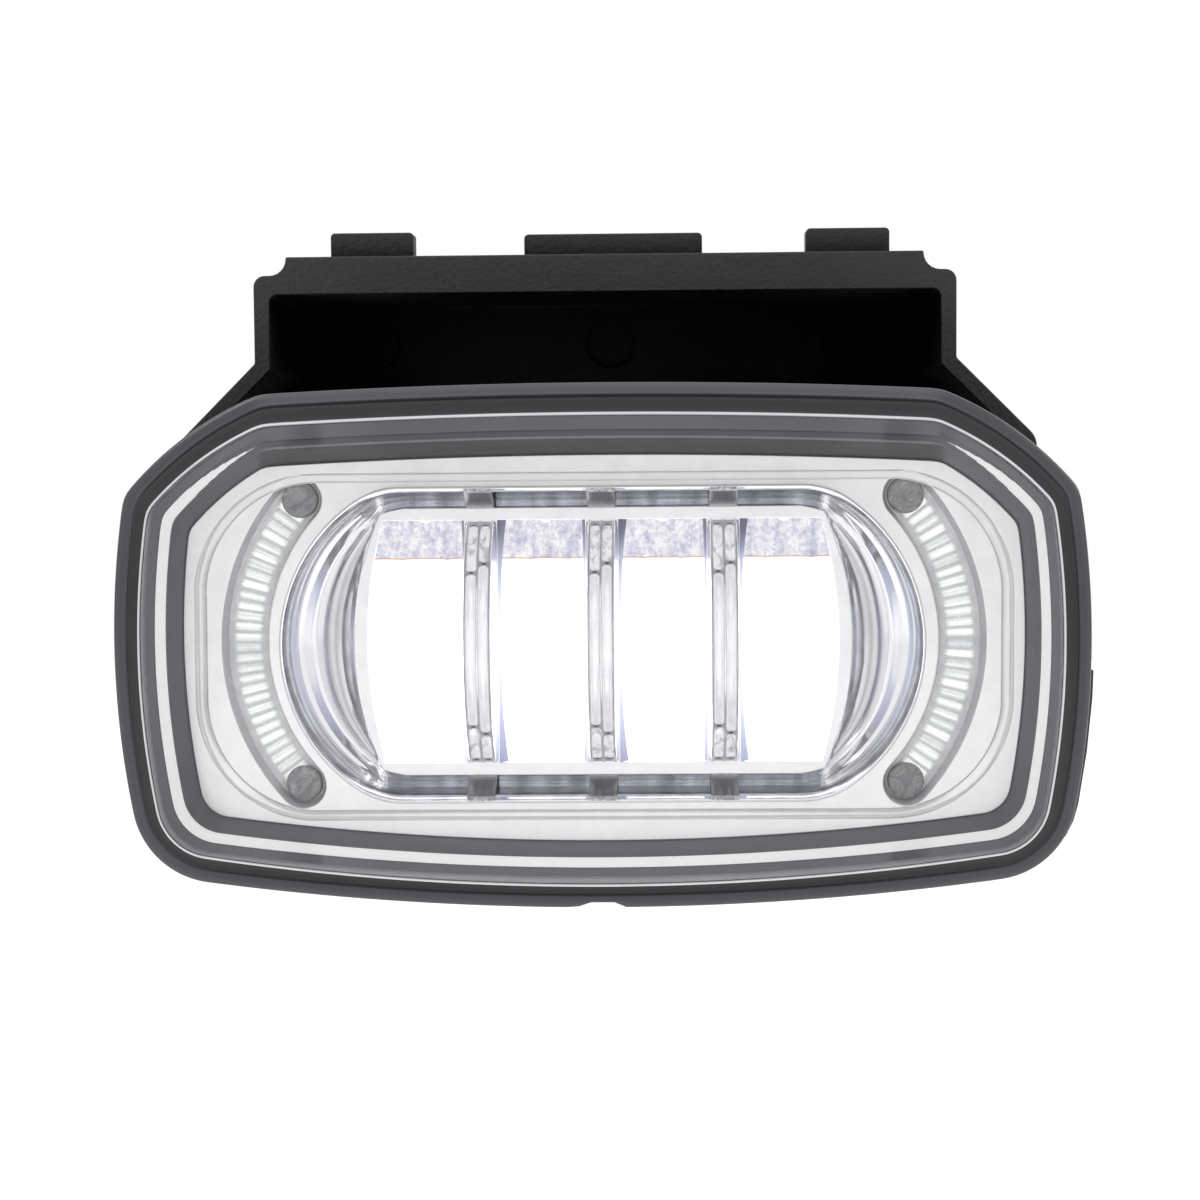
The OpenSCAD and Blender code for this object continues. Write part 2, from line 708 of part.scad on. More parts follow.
module bolt_limiters() {
    color("silver") place() at_bolts() difference() {
        rod(rear_y - 8, rear_y, 5, 0, 0);
        rod(rear_y - 9, rear_y + 1, bolt_r, 0, 0);
    }
}

// ---- Pivots and aim adjuster ----------------------------------------------

module pivot_screw() {
    color("lightgray") place() difference() {
        union() {
            axle(80.5, 88.5, 2.5, pivot_y, 0);
            axle(88, arms_w / 2 + 0.4, 4, pivot_y, 0);
            axle(arms_w / 2 + 0.4, arms_w / 2 + 3.4, 7, pivot_y, 0);
        }
        translate([arms_w / 2 + 1.4, pivot_y, 0]) rotate([0, 90, 0]) cylinder(h = 3, r = 2.9, $fn = 6);
    }
}

module pivot_bushing() {
    color("ivory") place() difference() {
        union() {
            axle(arm_in, arms_w / 2, 5.98, pivot_y, 0);
            axle(arm_in - 1.1, arm_in, 8.5, pivot_y, 0);
        }
        axle(arm_in - 2, arms_w / 2 + 1, 4 + running, pivot_y, 0);
    }
}

module pivot_inserts() {
    color("goldenrod") place() both_sides() difference() {
        axle(80, 88, 4.18, pivot_y, 0);
        axle(79, 89, 2.52, pivot_y, 0);
    }
}

module pivot_screw_right() { pivot_screw(); }
module pivot_screw_left() { mirror([1, 0, 0]) pivot_screw(); }
module pivot_bushing_right() { pivot_bushing(); }
module pivot_bushing_left() { mirror([1, 0, 0]) pivot_bushing(); }

module adjuster_bushing() {
    color("ivory") place() difference() {
        rod(rear_y - 12, rear_y - 6, 5.98, adjuster_x, nut_z);
        rod(rear_y - 13, rear_y - 5, screw_r + running, adjuster_x, nut_z);
    }
}

module adjuster_screw() {
    color("lightgray") place() difference() {
        union() {
            rod(50, rear_y - 5, screw_r, adjuster_x, nut_z);
            rod(rear_y - 5.6, rear_y - 0.8, 5.2, adjuster_x, nut_z);
        }
        translate([adjuster_x, rear_y - 3.5, nut_z]) rotate([-90, 0, 0]) cylinder(h = 4, r = 2.9, $fn = 6);
    }
}

module adjuster_clip() {
    color("gray") place() difference() {
        rod(rear_y - 13.8, rear_y - 12.4, 5.4, adjuster_x, nut_z);
        rod(rear_y - 15, rear_y - 11, screw_r + 0.02, adjuster_x, nut_z);
    }
}

module adjuster_nut() {
    color("ivory") place() difference() {
        union() {
            translate([adjuster_x - 6, pivot_y - 5, nut_z - 4.5]) cube([12, 10, 9]);
            axle(adjuster_x - 11.4, adjuster_x + 11.4, screw_r, pivot_y, nut_z);
        }
        rod(pivot_y - 6, pivot_y + 6, screw_r + running, adjuster_x, nut_z);
    }
}

lens_cover();
lens_seal();
housing();
bezel();
reflector();
rib_trims();
led_board();
main_leds();
thermal_pad();
heat_sink();
heat_sink_gasket();
heat_sink_screws();
driver_board();
driver_parts();
driver_screws();
drl_guide_left();
drl_guide_right();
drl_board_left();
drl_board_right();
drl_leds();
drl_leads();
connector_socket();
connector_terminals();
connector_gasket();
breather_vent();
bezel_screws();
led_board_screws();
pivot_inserts();
pivot_screw_left();
pivot_screw_right();
bracket();
bolt_limiters();
pivot_bushing_left();
pivot_bushing_right();
adjuster_bushing();
adjuster_screw();
adjuster_clip();
adjuster_nut();
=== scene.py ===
# LED fog light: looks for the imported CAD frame.
# Lengths are in millimetres in the lamp's own frame, where x is to the right, d is the depth
# behind the lens edge and z is the height over the middle of the lens. place() turns them into
# metres in the row frame, which the tilt axis ties to the CAD.
import json
import math
import random

import bpy
import numpy as np
from mathutils import Matrix, Vector
from mathutils.geometry import delaunay_2d_cdt


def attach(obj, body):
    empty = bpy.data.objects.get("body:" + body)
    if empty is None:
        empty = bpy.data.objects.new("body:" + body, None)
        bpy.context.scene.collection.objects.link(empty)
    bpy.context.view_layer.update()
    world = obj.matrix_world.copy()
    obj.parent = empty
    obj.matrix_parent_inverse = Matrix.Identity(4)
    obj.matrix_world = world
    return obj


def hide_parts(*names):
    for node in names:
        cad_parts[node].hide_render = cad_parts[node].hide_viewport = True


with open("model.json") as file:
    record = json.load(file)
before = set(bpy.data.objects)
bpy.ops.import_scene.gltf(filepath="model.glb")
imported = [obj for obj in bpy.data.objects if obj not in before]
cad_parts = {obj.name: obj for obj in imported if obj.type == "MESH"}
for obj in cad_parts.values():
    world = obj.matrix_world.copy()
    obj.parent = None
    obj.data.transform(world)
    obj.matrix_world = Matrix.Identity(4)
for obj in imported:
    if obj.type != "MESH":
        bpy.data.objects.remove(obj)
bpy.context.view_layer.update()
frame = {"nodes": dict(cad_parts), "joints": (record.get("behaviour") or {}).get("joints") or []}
random.seed(7)

PIVOT_DEPTH = 64.0
tilt_joint = next(j for j in frame["joints"] if j["name"] == "aim_tilt")
ORIGIN = np.array(tilt_joint["pos_m"]) - np.array([0, PIVOT_DEPTH / 1000, 0])


def place(points):
    """Lamp frame in millimetres to row frame in metres."""
    return np.asarray(points, float).reshape(-1, 3) / 1000 + ORIGIN


# ---- Outlines ---------------------------------------------------------------
# The lens edge is a chain of arcs: a nearly flat crown, a cut corner and a bowed side on each
# half, tight lower corners and a nearly flat sole. The dome is the lens's bulge to the front.
LENS_W, LENS_TOP, LENS_BOTTOM = 200.4, 54.3, 53.7
CROWN_R, SOLE_R, SIDE_R, CUT_R, CORNER_R = 1300.0, 608.0, 187.0, 70.0, 17.9
CROWN_C = np.array([0, LENS_TOP - CROWN_R])
SOLE_C = np.array([0, SOLE_R - LENS_BOTTOM])
SIDE_C = np.array([LENS_W / 2 - SIDE_R, 1.0])
CUT_C = np.array([LENS_W / 2 - 56.6, LENS_TOP - 67])
DOME_R, DOME_H = 900.0, 11.0
# The oblong collar has round ends about END_X and flat stretches above and below. The light
# guides are arcs about the same two centres. Cells and ribs repeat at CELL_PITCH. CELL_TOP and
# FRAME_TOP are the half heights of the cells' openings and of the frame round them, RIB_HALF is
# half a rib's width at its foot, and PLATE is the depth of the bezel's face.
END_X, OBLONG_R, OBLONG_H, OBLONG_JOIN = 30.9, 36.6, 33.2, 18.0
DRL_R, DRL_ANGLE = 45.0, 42.4
CELL_PITCH, CELL_TOP = 25.6, 25.8
RIB_HALF = 3.5
RIB_X = (-CELL_PITCH, 0.0, CELL_PITCH)
PLATE = 17.5
FRAME_TOP = 28.4


def crossing(c1, r1, c2, r2, side):
    """Where two circles cross, on the given side of the line between their centres."""
    d = c2 - c1
    q = np.hypot(*d)
    a = (r1 * r1 - r2 * r2 + q * q) / (2 * q)
    return c1 + a * d / q + side * math.sqrt(r1 * r1 - a * a) * np.array([-d[1], d[0]]) / q


CORNER_C = crossing(SOLE_C, SOLE_R - CORNER_R, SIDE_C, SIDE_R - CORNER_R, 1)


def bearing(c, p):
    return math.atan2(p[1] - c[1], p[0] - c[0])


def arc(c, r, a0, a1, n):
    a = a0 + (a1 - a0) * np.arange(n) / n
    return np.stack([c[0] + r * np.cos(a), c[1] + r * np.sin(a)], 1)


# Points along one half of the outline: sole, lower corner, side, cut corner and crown.
SEG = (34, 18, 40, 30, 40)
RING = 2 * sum(SEG)
CUT_FROM, TOP_FROM = sum(SEG[:3]), sum(SEG[:4])
CROWN_SHARE = 0.43


def lens_outline(t, drop=0.0, soft=2):
    """Closed lens outline drawn in by t, and at the top by a further drop."""
    crown, cut = CROWN_R - t - drop, CUT_R - t - drop * CROWN_SHARE
    top = crossing(CUT_C, cut, CROWN_C, crown, 1)
    side = crossing(CUT_C, cut, SIDE_C, SIDE_R - t, -1)
    half = np.concatenate([
        arc(SOLE_C, SOLE_R - t, -math.pi / 2, bearing(SOLE_C, CORNER_C), SEG[0]),
        arc(CORNER_C, CORNER_R - t, bearing(SOLE_C, CORNER_C), bearing(SIDE_C, CORNER_C), SEG[1]),
        arc(SIDE_C, SIDE_R - t, bearing(SIDE_C, CORNER_C), bearing(SIDE_C, side), SEG[2]),
        arc(CUT_C, cut, bearing(CUT_C, side), bearing(CUT_C, top), SEG[3]),
        arc(CROWN_C, crown, bearing(CROWN_C, top), math.pi / 2, SEG[4]),
        [CROWN_C + [0, crown]]])
    left = half[::-1].copy()
    left[:, 0] *= -1
    ring = np.concatenate([half, left[1:-1]])
    for corner in (CUT_FROM, TOP_FROM, RING - TOP_FROM, RING - CUT_FROM):
        for _ in range(soft):
            near = [corner - 1, corner, corner + 1]
            ring[near] = (ring[[i - 1 for i in near]] + 2 * ring[near] + ring[[i + 1 for i in near]]) / 4
    return ring


def is_top(blur=3):
    """1 along the crown of lens_outline and 0 elsewhere, with soft ends."""
    mask = np.zeros(RING)
    mask[TOP_FROM:RING - TOP_FROM + 1] = 1
    for _ in range(blur):
        mask = (np.roll(mask, 1) + 2 * mask + np.roll(mask, -1)) / 4
    return mask


def oblong_side(t, n=36, m=14):
    """Right-hand end of the collar's outline drawn in by t, from its flat bottom to its flat top."""
    up = OBLONG_H - OBLONG_JOIN
    along = math.sqrt((OBLONG_R - OBLONG_JOIN) ** 2 - up * up)
    a, join = math.atan2(up, along), OBLONG_JOIN - t
    return np.concatenate([
        arc([END_X + along, -up], join, -math.pi / 2, -a, m), arc([END_X, 0], OBLONG_R - t, -a, a, n),
        arc([END_X + along, up], join, a, math.pi / 2, m), [[END_X + along, up + join]]])


def oblong(t, m=24):
    """Closed outline of the collar drawn in by t."""
    right = oblong_side(t)
    x, h = right[-1]
    flat = np.stack([np.linspace(x, -x, m + 1)[1:-1], np.full(m - 1, h)], 1)
    half = np.concatenate([right, flat])
    return np.concatenate([half, -half])


def arc_band(r0, r1, a, side=1, n=60, m=14):
    """Closed band between two radii, a degrees up and down, with round ends."""
    c = np.array([END_X, 0.0])
    mid, w, a = (r0 + r1) / 2, (r1 - r0) / 2, math.radians(a)
    ends = [c + mid * np.array([math.cos(s * a), math.sin(s * a)]) for s in (1, -1)]
    ring = np.concatenate([
        arc(c, r1, -a, a, n), arc(ends[0], w, a, a + math.pi, m),
        arc(c, r0, a, -a, n), arc(ends[1], w, math.pi - a, 2 * math.pi - a, m)])
    return ring * [side, 1] if side > 0 else (ring * [side, 1])[::-1]


def rounded(x0, x1, z0, z1, r, n=12):
    """Rectangle with round corners."""
    quarter = math.pi / 2
    return np.concatenate([
        arc([x1 - r, z0 + r], r, -quarter, 0, n),
        arc([x1 - r, z1 - r], r, 0, quarter, n),
        arc([x0 + r, z1 - r], r, quarter, math.pi, n),
        arc([x0 + r, z0 + r], r, math.pi, 3 * quarter, n)])


# ---- Mesh building ----------------------------------------------------------
def show(name, data):
    """New object in the scene."""
    shown = bpy.data.objects.new(name, data)
    bpy.context.scene.collection.objects.link(shown)
    return shown


def inside(points, loop):
    """Which points lie inside a closed loop."""
    a, b = loop, np.roll(loop, -1, 0)
    x, y = points[:, 0][:, None], points[:, 1][:, None]
    spans = (a[:, 1] > y) != (b[:, 1] > y)
    rise = np.where(b[:, 1] == a[:, 1], 1e-12, b[:, 1] - a[:, 1])
    return (spans & (x < (b[:, 0] - a[:, 0]) * (y - a[:, 1]) / rise + a[:, 0])).sum(1) % 2 == 1


class Piece:
    """Gathers rings, shapes and grids into one mesh with a tone at each vertex."""

    def __init__(self):
        self.verts, self.faces, self.mats, self.tone = [], [], [], []

    def add(self, verts, faces, mat=0, tone=0.0):
        base = sum(len(v) for v in self.verts)
        verts = np.asarray(verts, float).reshape(-1, 3)
        self.verts.append(verts)
        self.tone.append(np.broadcast_to(np.asarray(tone, float), (len(verts),)))
        self.faces += [tuple(base + i for i in f) for f in faces]
        self.mats += [mat] * len(faces)

    def grid(self, points, mat=0, closed=False, tone=0.0, flip=False):
        """points is rows x columns x 3. closed joins the last column to the first."""
        points = np.asarray(points, float)
        rows, cols = points.shape[:2]
        i, j = np.meshgrid(np.arange(rows - 1), np.arange(cols if closed else cols - 1), indexing="ij")
        k = (j + 1) % cols
        corners = [i * cols + j, i * cols + k, (i + 1) * cols + k, (i + 1) * cols + j]
        quads = np.stack(corners, -1).reshape(-1, 4)
        if flip:
            quads = quads[:, ::-1]
        tone = np.broadcast_to(np.asarray(tone, float), (rows, cols)).reshape(-1)
        self.add(points.reshape(-1, 3), quads.tolist(), mat, tone)

    def rings(self, stations, mat=0, tone=None, flip=False):
        """stations is a list of (outline, depths). Depth may be one number or one per point."""
        pts = [np.stack([o[:, 0], np.broadcast_to(d, (len(o),)), o[:, 1]], 1) for o, d in stations]
        tone = 0.0 if tone is None else np.stack([np.broadcast_to(t, (len(pts[0]),)) for t in tone])
        self.grid(np.stack(pts), mat, closed=True, tone=tone, flip=flip)

    def shape(self, loops, d0, d1, bevel=0.3, mat=0, steps=4):
        """A flat outline (the first loop) with holes, from depth d0 back to d1, with rounded front edges."""
        fronts = []
        for k, loop in enumerate(loops):
            turn = np.roll(loop, -1, 0) - np.roll(loop, 1, 0)
            normal = np.stack([-turn[:, 1], turn[:, 0]], 1) / np.maximum(np.hypot(*turn.T), 1e-9)[:, None]
            area = (loop[:, 0] * np.roll(loop[:, 1], -1) - loop[:, 1] * np.roll(loop[:, 0], -1)).sum()
            inward = np.sign(area) * (1 if k == 0 else -1)
            stations = [(loop, d1)]
            for t in np.linspace(0, math.pi / 2, steps + 1):
                drawn_in = loop + normal * inward * bevel * (1 - math.cos(t))
                stations.append((drawn_in, d0 + bevel * (1 - math.sin(t))))
            self.rings(stations, mat, flip=inward < 0)
            fronts.append(stations[-1][0])
        pts, faces = np.concatenate(fronts), []
        base = 0
        for front in fronts:
            faces.append([(base + i, base + (i + 1) % len(front)) for i in range(len(front))])
            base += len(front)
        flat, _, tris, _, _, _ = delaunay_2d_cdt([Vector(q) for q in pts], sum(faces, []), [], 0, 1e-6)
        flat = np.array([list(q) for q in flat])
        tris = np.array([t for t in tris if len(t) == 3])
        mid = flat[tris].mean(1)
        keep = inside(mid, fronts[0])
        for hole in fronts[1:]:
            keep &= ~inside(mid, hole)
        self.add(np.stack([flat[:, 0], np.full(len(flat), d0), flat[:, 1]], 1), tris[keep].tolist(), mat)

    def done(self, name, mats, body, nodes, sharp=30):
        """Makes the object, with its edges sharp above an angle in degrees."""
        mesh = bpy.data.meshes.new(name)
        mesh.from_pydata(place(np.concatenate(self.verts)).tolist(), [], self.faces)
        for m in mats:
            mesh.materials.append(m)
        mesh.polygons.foreach_set("material_index", self.mats)
        tone = mesh.attributes.new("tone", "FLOAT", "POINT")
        tone.data.foreach_set("value", np.concatenate(self.tone).astype(np.float32))
        mesh.update()
        mesh.shade_smooth()
        mesh.set_sharp_from_angle(angle=math.radians(sharp))
        piece = show(name, mesh)
        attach(piece, body)
        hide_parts(*nodes)
        return piece


# ---- Materials --------------------------------------------------------------
WHITE = (1, 1, 1, 1)


def fill_ramp(ramp, stops):
    """Stops are pairs of place and colour, or place and grey."""
    while len(ramp.elements) < len(stops):
        ramp.elements.new(0.5)
    for element, (at, colour) in zip(ramp.elements, stops):
        element.position = at
        element.color = (*colour, 1) if isinstance(colour, tuple) else (colour, colour, colour, 1)


class Paint:
    """A node material with a Principled shader and a few shorthand calls."""

    def __init__(self, name, **sockets):
        self.mat = bpy.data.materials.new(name)
        self.mat.use_nodes = True
        self.tree = self.mat.node_tree
        self.shader = self.tree.nodes["Principled BSDF"]
        self.out = self.tree.nodes["Material Output"]
        for key, value in sockets.items():
            self.shader.inputs[key.replace("_", " ")].default_value = value
        self.where = self.node("ShaderNodeTexCoord").outputs["Object"]

    def node(self, kind, **props):
        n = self.tree.nodes.new(kind)
        for key, value in props.items():
            setattr(n, key, value)
        return n

    def link(self, a, b):
        self.tree.links.new(a, b)

    def put(self, node, **inputs):
        for key, value in inputs.items():
            socket = node.inputs[key.replace("_", " ")]
            if isinstance(value, bpy.types.NodeSocket):
                self.link(value, socket)
            else:
                socket.default_value = value
        return node

    def noise(self, scale, detail=3.0, rough=0.55, distortion=0.0, stretch=None):
        n = self.node("ShaderNodeTexNoise")
        self.put(n, Scale=scale, Detail=detail, Roughness=rough, Distortion=distortion)
        self.link(self.stretched(stretch) if stretch else self.where, n.inputs["Vector"])
        return n.outputs["Fac"]

    def stretched(self, scale):
        m = self.node("ShaderNodeMapping")
        self.link(self.where, m.inputs["Vector"])
        m.inputs["Scale"].default_value = scale
        return m.outputs["Vector"]

    def cells(self, scale, feature="F1"):
        n = self.node("ShaderNodeTexVoronoi", feature=feature)
        self.put(n, Scale=scale)
        self.link(self.where, n.inputs["Vector"])
        return n.outputs["Distance"]

    def tone(self):
        return self.node("ShaderNodeAttribute", attribute_name="tone").outputs["Fac"]

    def ramp(self, fac, stops):
        r = self.node("ShaderNodeValToRGB")
        fill_ramp(r.color_ramp, stops)
        self.link(fac, r.inputs["Fac"])
        return r.outputs["Color"]

    def math(self, op, a, b=0.0, c=0.0, clamp=False):
        n = self.node("ShaderNodeMath", operation=op, use_clamp=clamp)
        for socket, value in zip(n.inputs, (a, b, c)):
            if isinstance(value, bpy.types.NodeSocket):
                self.link(value, socket)
            else:
                socket.default_value = value
        return n.outputs[0]

    def weighted(self, a, share_a, b, share_b):
        """Sum of two values, each by its own share."""
        return self.math("ADD", self.math("MULTIPLY", a, share_a), self.math("MULTIPLY", b, share_b))

    def between(self, fac, low, high):
        n = self.node("ShaderNodeMapRange")
        self.put(n, Value=fac)
        n.inputs["To Min"].default_value, n.inputs["To Max"].default_value = low, high
        return n.outputs["Result"]

    def mix(self, fac, a, b, blend="MIX"):
        n = self.node("ShaderNodeMix", data_type="RGBA", blend_type=blend)
        for socket, value in ((n.inputs["Factor"], fac), (n.inputs[6], a), (n.inputs[7], b)):
            if isinstance(value, bpy.types.NodeSocket):
                self.link(value, socket)
            elif isinstance(value, tuple):
                socket.default_value = (*value, 1)
            else:
                socket.default_value = value
        return n.outputs[2]

    def bump(self, height, strength=0.3, distance=0.0002, over=None):
        b = self.node("ShaderNodeBump")
        self.put(b, Height=height, Strength=strength, Distance=distance)
        if over is not None:
            self.link(over, b.inputs["Normal"])
        self.link(b.outputs["Normal"], self.shader.inputs["Normal"])
        return b.outputs["Normal"]

    def set(self, **inputs):
        self.put(self.shader, **inputs)
        return self


def plastic(name, dark, light, rough, grain, depth, blotch, level=0.5, painted_shade_reach=0.0):
    """Moulded plastic: fine grain, soft patches of tone and slightly paler, worn edges."""
    p = Paint(name, Specular_IOR_Level=level)
    fine, patch = p.noise(grain, 3, 0.6), p.noise(blotch, 4, 0.6)
    worn = p.ramp(p.node("ShaderNodeNewGeometry").outputs["Pointiness"], [(0.52, 0.0), (0.60, 1.0)])
    base = p.ramp(p.weighted(fine, 0.45, patch, 0.55), [(0.32, dark), (0.68, light)])
    wear = tuple(min(1.0, c * 1.7 + 0.012) for c in light)
    base = p.mix(p.math("MULTIPLY", worn, 0.5), base, wear)
    if painted_shade_reach:
        # Painted shade: in recesses that ambient occlusion finds within this reach, the base colour goes to
        # near black and the specular level drops.
        recess_ao = p.node("ShaderNodeAmbientOcclusion", samples=8)
        p.put(recess_ao, Distance=painted_shade_reach)
        unshaded_share = p.ramp(recess_ao.outputs["AO"], [(0.30, 0.02), (0.85, 1.0)])
        base = p.mix(unshaded_share, (0.001, 0.001, 0.0013), base)
        p.set(Specular_IOR_Level=p.math("MULTIPLY", unshaded_share, level))
    p.set(Base_Color=base, Roughness=p.between(patch, *rough))
    leather = p.math("ADD", p.math("MULTIPLY", p.cells(grain * 0.7), 0.6), fine)
    p.bump(leather, depth, 0.00025)
    return p.mat


def metal(name, dark, light, rough, scratch, depth, metallic=1.0):
    """Metal with brushed streaks, patches of haze and small scratches."""
    p = Paint(name, Metallic=metallic)
    streak, haze = p.noise(1.0, 4, 0.65, stretch=scratch), p.noise(90, 4, 0.6)
    p.set(Base_Color=p.ramp(p.weighted(streak, 0.6, haze, 0.4), [(0.3, dark), (0.7, light)]),
          Roughness=p.between(p.weighted(streak, 0.5, haze, 0.5), *rough))
    p.bump(streak, depth, 0.0002)
    return p.mat


def mirror(name, dark, light, rough, wave, metallic=1.0, painted_glow=0.0):
    """Vacuum-metallised plastic: bright, with the faint ripple of the moulding under it, and a painted light
    added as emission.
    """
    p = Paint(name, Metallic=metallic, Emission_Color=WHITE, Emission_Strength=painted_glow)
    ripple, haze = p.noise(70, 2, 0.5), p.noise(260, 3, 0.6)
    p.set(Base_Color=p.ramp(haze, [(0.3, dark), (0.7, light)]), Roughness=p.between(haze, *rough))
    p.bump(ripple, wave, 0.001)
    return p.mat


def bowl():
    """Bright bowl at each end: tone 0 is the painted shade crescent by the cells, tone 1 the open outer part,
    with painted reflections between and a faint painted light as emission.
    """
    p = Paint("bowl_chrome", Metallic=0.8, Emission_Color=WHITE, Emission_Strength=0.05)
    ripple, haze = p.noise(70, 2, 0.5), p.noise(260, 3, 0.6)
    greys = [(0.0, (0.26, 0.26, 0.27)), (0.35, (0.58, 0.58, 0.60)), (1.0, (0.97, 0.97, 0.98))]
    colour = p.mix(p.between(haze, 0.0, 0.2), p.ramp(p.tone(), greys), (0.80, 0.80, 0.84))
    p.set(Base_Color=colour, Roughness=p.between(haze, 0.05, 0.12))
    p.bump(ripple, 0.03, 0.001)
    return p.mat


def rib_end():
    """Ends of the rib flutes: curled bright and dark painted reflection streaks of the light behind, in base
    colour and emission, dark where the tone is low.
    """
    p = Paint("rib_end", Metallic=0.3, Emission_Strength=0.42)
    curl = p.noise(1.0, 2, 0.5, 0.4, stretch=(520, 520, 90))
    streak = p.ramp(curl, [(0.34, (0.55, 0.55, 0.57)), (0.44, (0.80, 0.80, 0.82)), (0.52, (1.0, 1.0, 1.0)),
                           (0.70, (0.84, 0.84, 0.87))])
    bright = p.ramp(p.tone(), [(0.15, 0.0), (0.85, 1.0)])
    p.set(Base_Color=p.mix(bright, (0.04, 0.04, 0.05), streak), Roughness=p.between(curl, 0.1, 0.2),
          Emission_Color=p.mix(bright, (0.01, 0.01, 0.01), streak))
    p.bump(curl, 0.15, 0.0004)
    return p.mat


def rib_flute():
    """Long middle segments of the rib flutes: even, with fine streaks along the rib, and painted light as
    emission that follows the tone, dark where the tone is low.
    """
    p = Paint("rib_flute", Metallic=0.2, Emission_Strength=0.28)
    streak = p.noise(1.0, 3, 0.6, stretch=(900, 900, 70))
    shade = p.ramp(streak, [(0.3, (0.72, 0.72, 0.735)), (0.7, (0.95, 0.95, 0.96))])
    bright = p.ramp(p.tone(), [(0.15, 0.0), (0.75, 1.0)])
    p.set(Base_Color=p.mix(bright, (0.06, 0.06, 0.07), shade), Roughness=p.between(streak, 0.16, 0.3),
          Emission_Color=p.ramp(p.tone(), [(0.15, 0.01), (0.75, 1.0)]))
    p.bump(p.noise(300, 2), 0.08, 0.0003)
    return p.mat


def lens_rim():
    """Thick clear plastic over the black rim: tone is painted light, picking how much light each band
    returns.
    """
    p = Paint("lens_rim", Coat_Weight=0.1, Coat_Roughness=0.04, IOR=1.42)
    streak = p.noise(1.0, 3, 0.5, stretch=(180, 180, 180))
    greys = [(0.0, (0.004, 0.004, 0.005)), (0.2, (0.014, 0.014, 0.016)), (0.4, (0.060, 0.058, 0.066)),
             (0.6, (0.155, 0.150, 0.168)), (0.8, (0.55, 0.55, 0.56)), (1.0, (0.90, 0.89, 0.88))]
    colour = p.mix(p.between(streak, 0.0, 0.12), p.ramp(p.tone(), greys), (0.07, 0.07, 0.075))
    p.set(Base_Color=colour, Roughness=p.between(streak, 0.06, 0.16))
    p.bump(p.noise(240, 2), 0.03, 0.0006)
    return p.mat


def lens_wall():
    """Smooth plastic seen through the lens: painted grey, white and dark bands of light and shade, a painted
    light as emission where the tone is high, and soft reflections.
    """
    p = Paint("lens_wall", Specular_IOR_Level=0.25, Emission_Strength=0.42)
    cloud = p.noise(1.0, 3, 0.6, stretch=(60, 260, 60))
    greys = [(0.0, (0.006, 0.006, 0.007)), (0.22, (0.030, 0.029, 0.033)), (0.36, (0.078, 0.075, 0.086)),
             (0.55, (0.170, 0.164, 0.186)), (0.72, (0.34, 0.34, 0.35)), (0.97, (0.85, 0.85, 0.85))]
    colour = p.mix(p.between(cloud, 0.0, 0.12), p.ramp(p.tone(), greys), (0.11, 0.107, 0.12))
    p.set(Base_Color=colour, Roughness=p.between(cloud, 0.1, 0.25),
          Emission_Color=p.ramp(p.tone(), [(0.80, (0, 0, 0)), (0.95, (0.98, 0.97, 0.95))]))
    p.bump(p.noise(120, 2), 0.03, 0.0008)
    return p.mat


def block():
    """Blocks across the trench: at tone 0 smooth and dark, a painted dark reflection; at tone 1 frosted, with
    a lighter painted highlight over the frosted bump.
    """
    p = Paint("bridge_block", Coat_Weight=0.4)
    tone, frost = p.tone(), p.noise(1300, 3, 0.7)
    smooth = p.ramp(p.noise(200, 3), [(0.3, (0.075, 0.075, 0.08)), (0.7, (0.15, 0.15, 0.155))])
    rough = p.ramp(frost, [(0.38, (0.30, 0.30, 0.31)), (0.62, (0.85, 0.85, 0.86))])
    p.set(Base_Color=p.mix(tone, smooth, rough), Roughness=p.between(tone, 0.15, 0.4))
    p.bump(p.math("MULTIPLY", frost, tone), 0.5, 0.0004)
    return p.mat


def window():
    """The clear window: nearly all passes, and a Fresnel share mirrors the room."""
    p = Paint("lens_window")
    clear = p.node("ShaderNodeBsdfTransparent")
    clear.inputs["Color"].default_value = (0.992, 0.99, 0.992, 1)
    gloss = p.node("ShaderNodeBsdfGlossy")
    p.put(gloss, Roughness=p.between(p.noise(150, 3), 0.02, 0.05))
    b = p.node("ShaderNodeBump")
    p.put(b, Height=p.noise(60, 2), Strength=0.02, Distance=0.0005)
    p.link(b.outputs["Normal"], gloss.inputs["Normal"])
    facing = p.node("ShaderNodeFresnel")
    p.put(facing, IOR=1.4)
    blend = p.node("ShaderNodeMixShader")
    p.link(facing.outputs[0], blend.inputs[0])
    p.link(clear.outputs[0], blend.inputs[1])
    p.link(gloss.outputs[0], blend.inputs[2])
    p.link(blend.outputs[0], p.out.inputs["Surface"])
    return p.mat


def lit_cells():
    """Reflector cell, painted as emission over a dark base: tone 1 is painted LED light flooding it, edged
    with a painted red and yellow fringe, tone 0 is a painted reflection of bare bright metal.
    """
    p = Paint("cell_mirror", Metallic=0.0, Roughness=0.2)
    tone, fleck = p.tone(), p.noise(900, 4, 0.75)
    patch = p.noise(1.0, 3, 0.6, stretch=(420, 200, 160))
    bare = p.ramp(p.weighted(fleck, 0.6, patch, 0.5),
                  [(0.38, (0.44, 0.44, 0.58)), (0.52, (0.70, 0.70, 0.83)), (0.64, (1.0, 1.0, 1.0))])
    painted_glow = p.ramp(tone, [(0.0, (0, 0, 0)), (0.30, (0, 0, 0)), (0.45, (1.0, 0.55, 0.50)),
                         (0.55, (1.0, 0.92, 0.55)), (0.62, (1, 1, 1))])
    colour = p.mix(p.ramp(tone, [(0.28, 0.0), (0.42, 1.0)]), bare, painted_glow)
    p.set(Base_Color=(0.02, 0.02, 0.02, 1), Emission_Color=colour)
    p.set(Emission_Strength=p.between(p.ramp(tone, [(0.55, 0.0), (0.75, 1.0)]), 0.9, 2.4))
    return p.mat


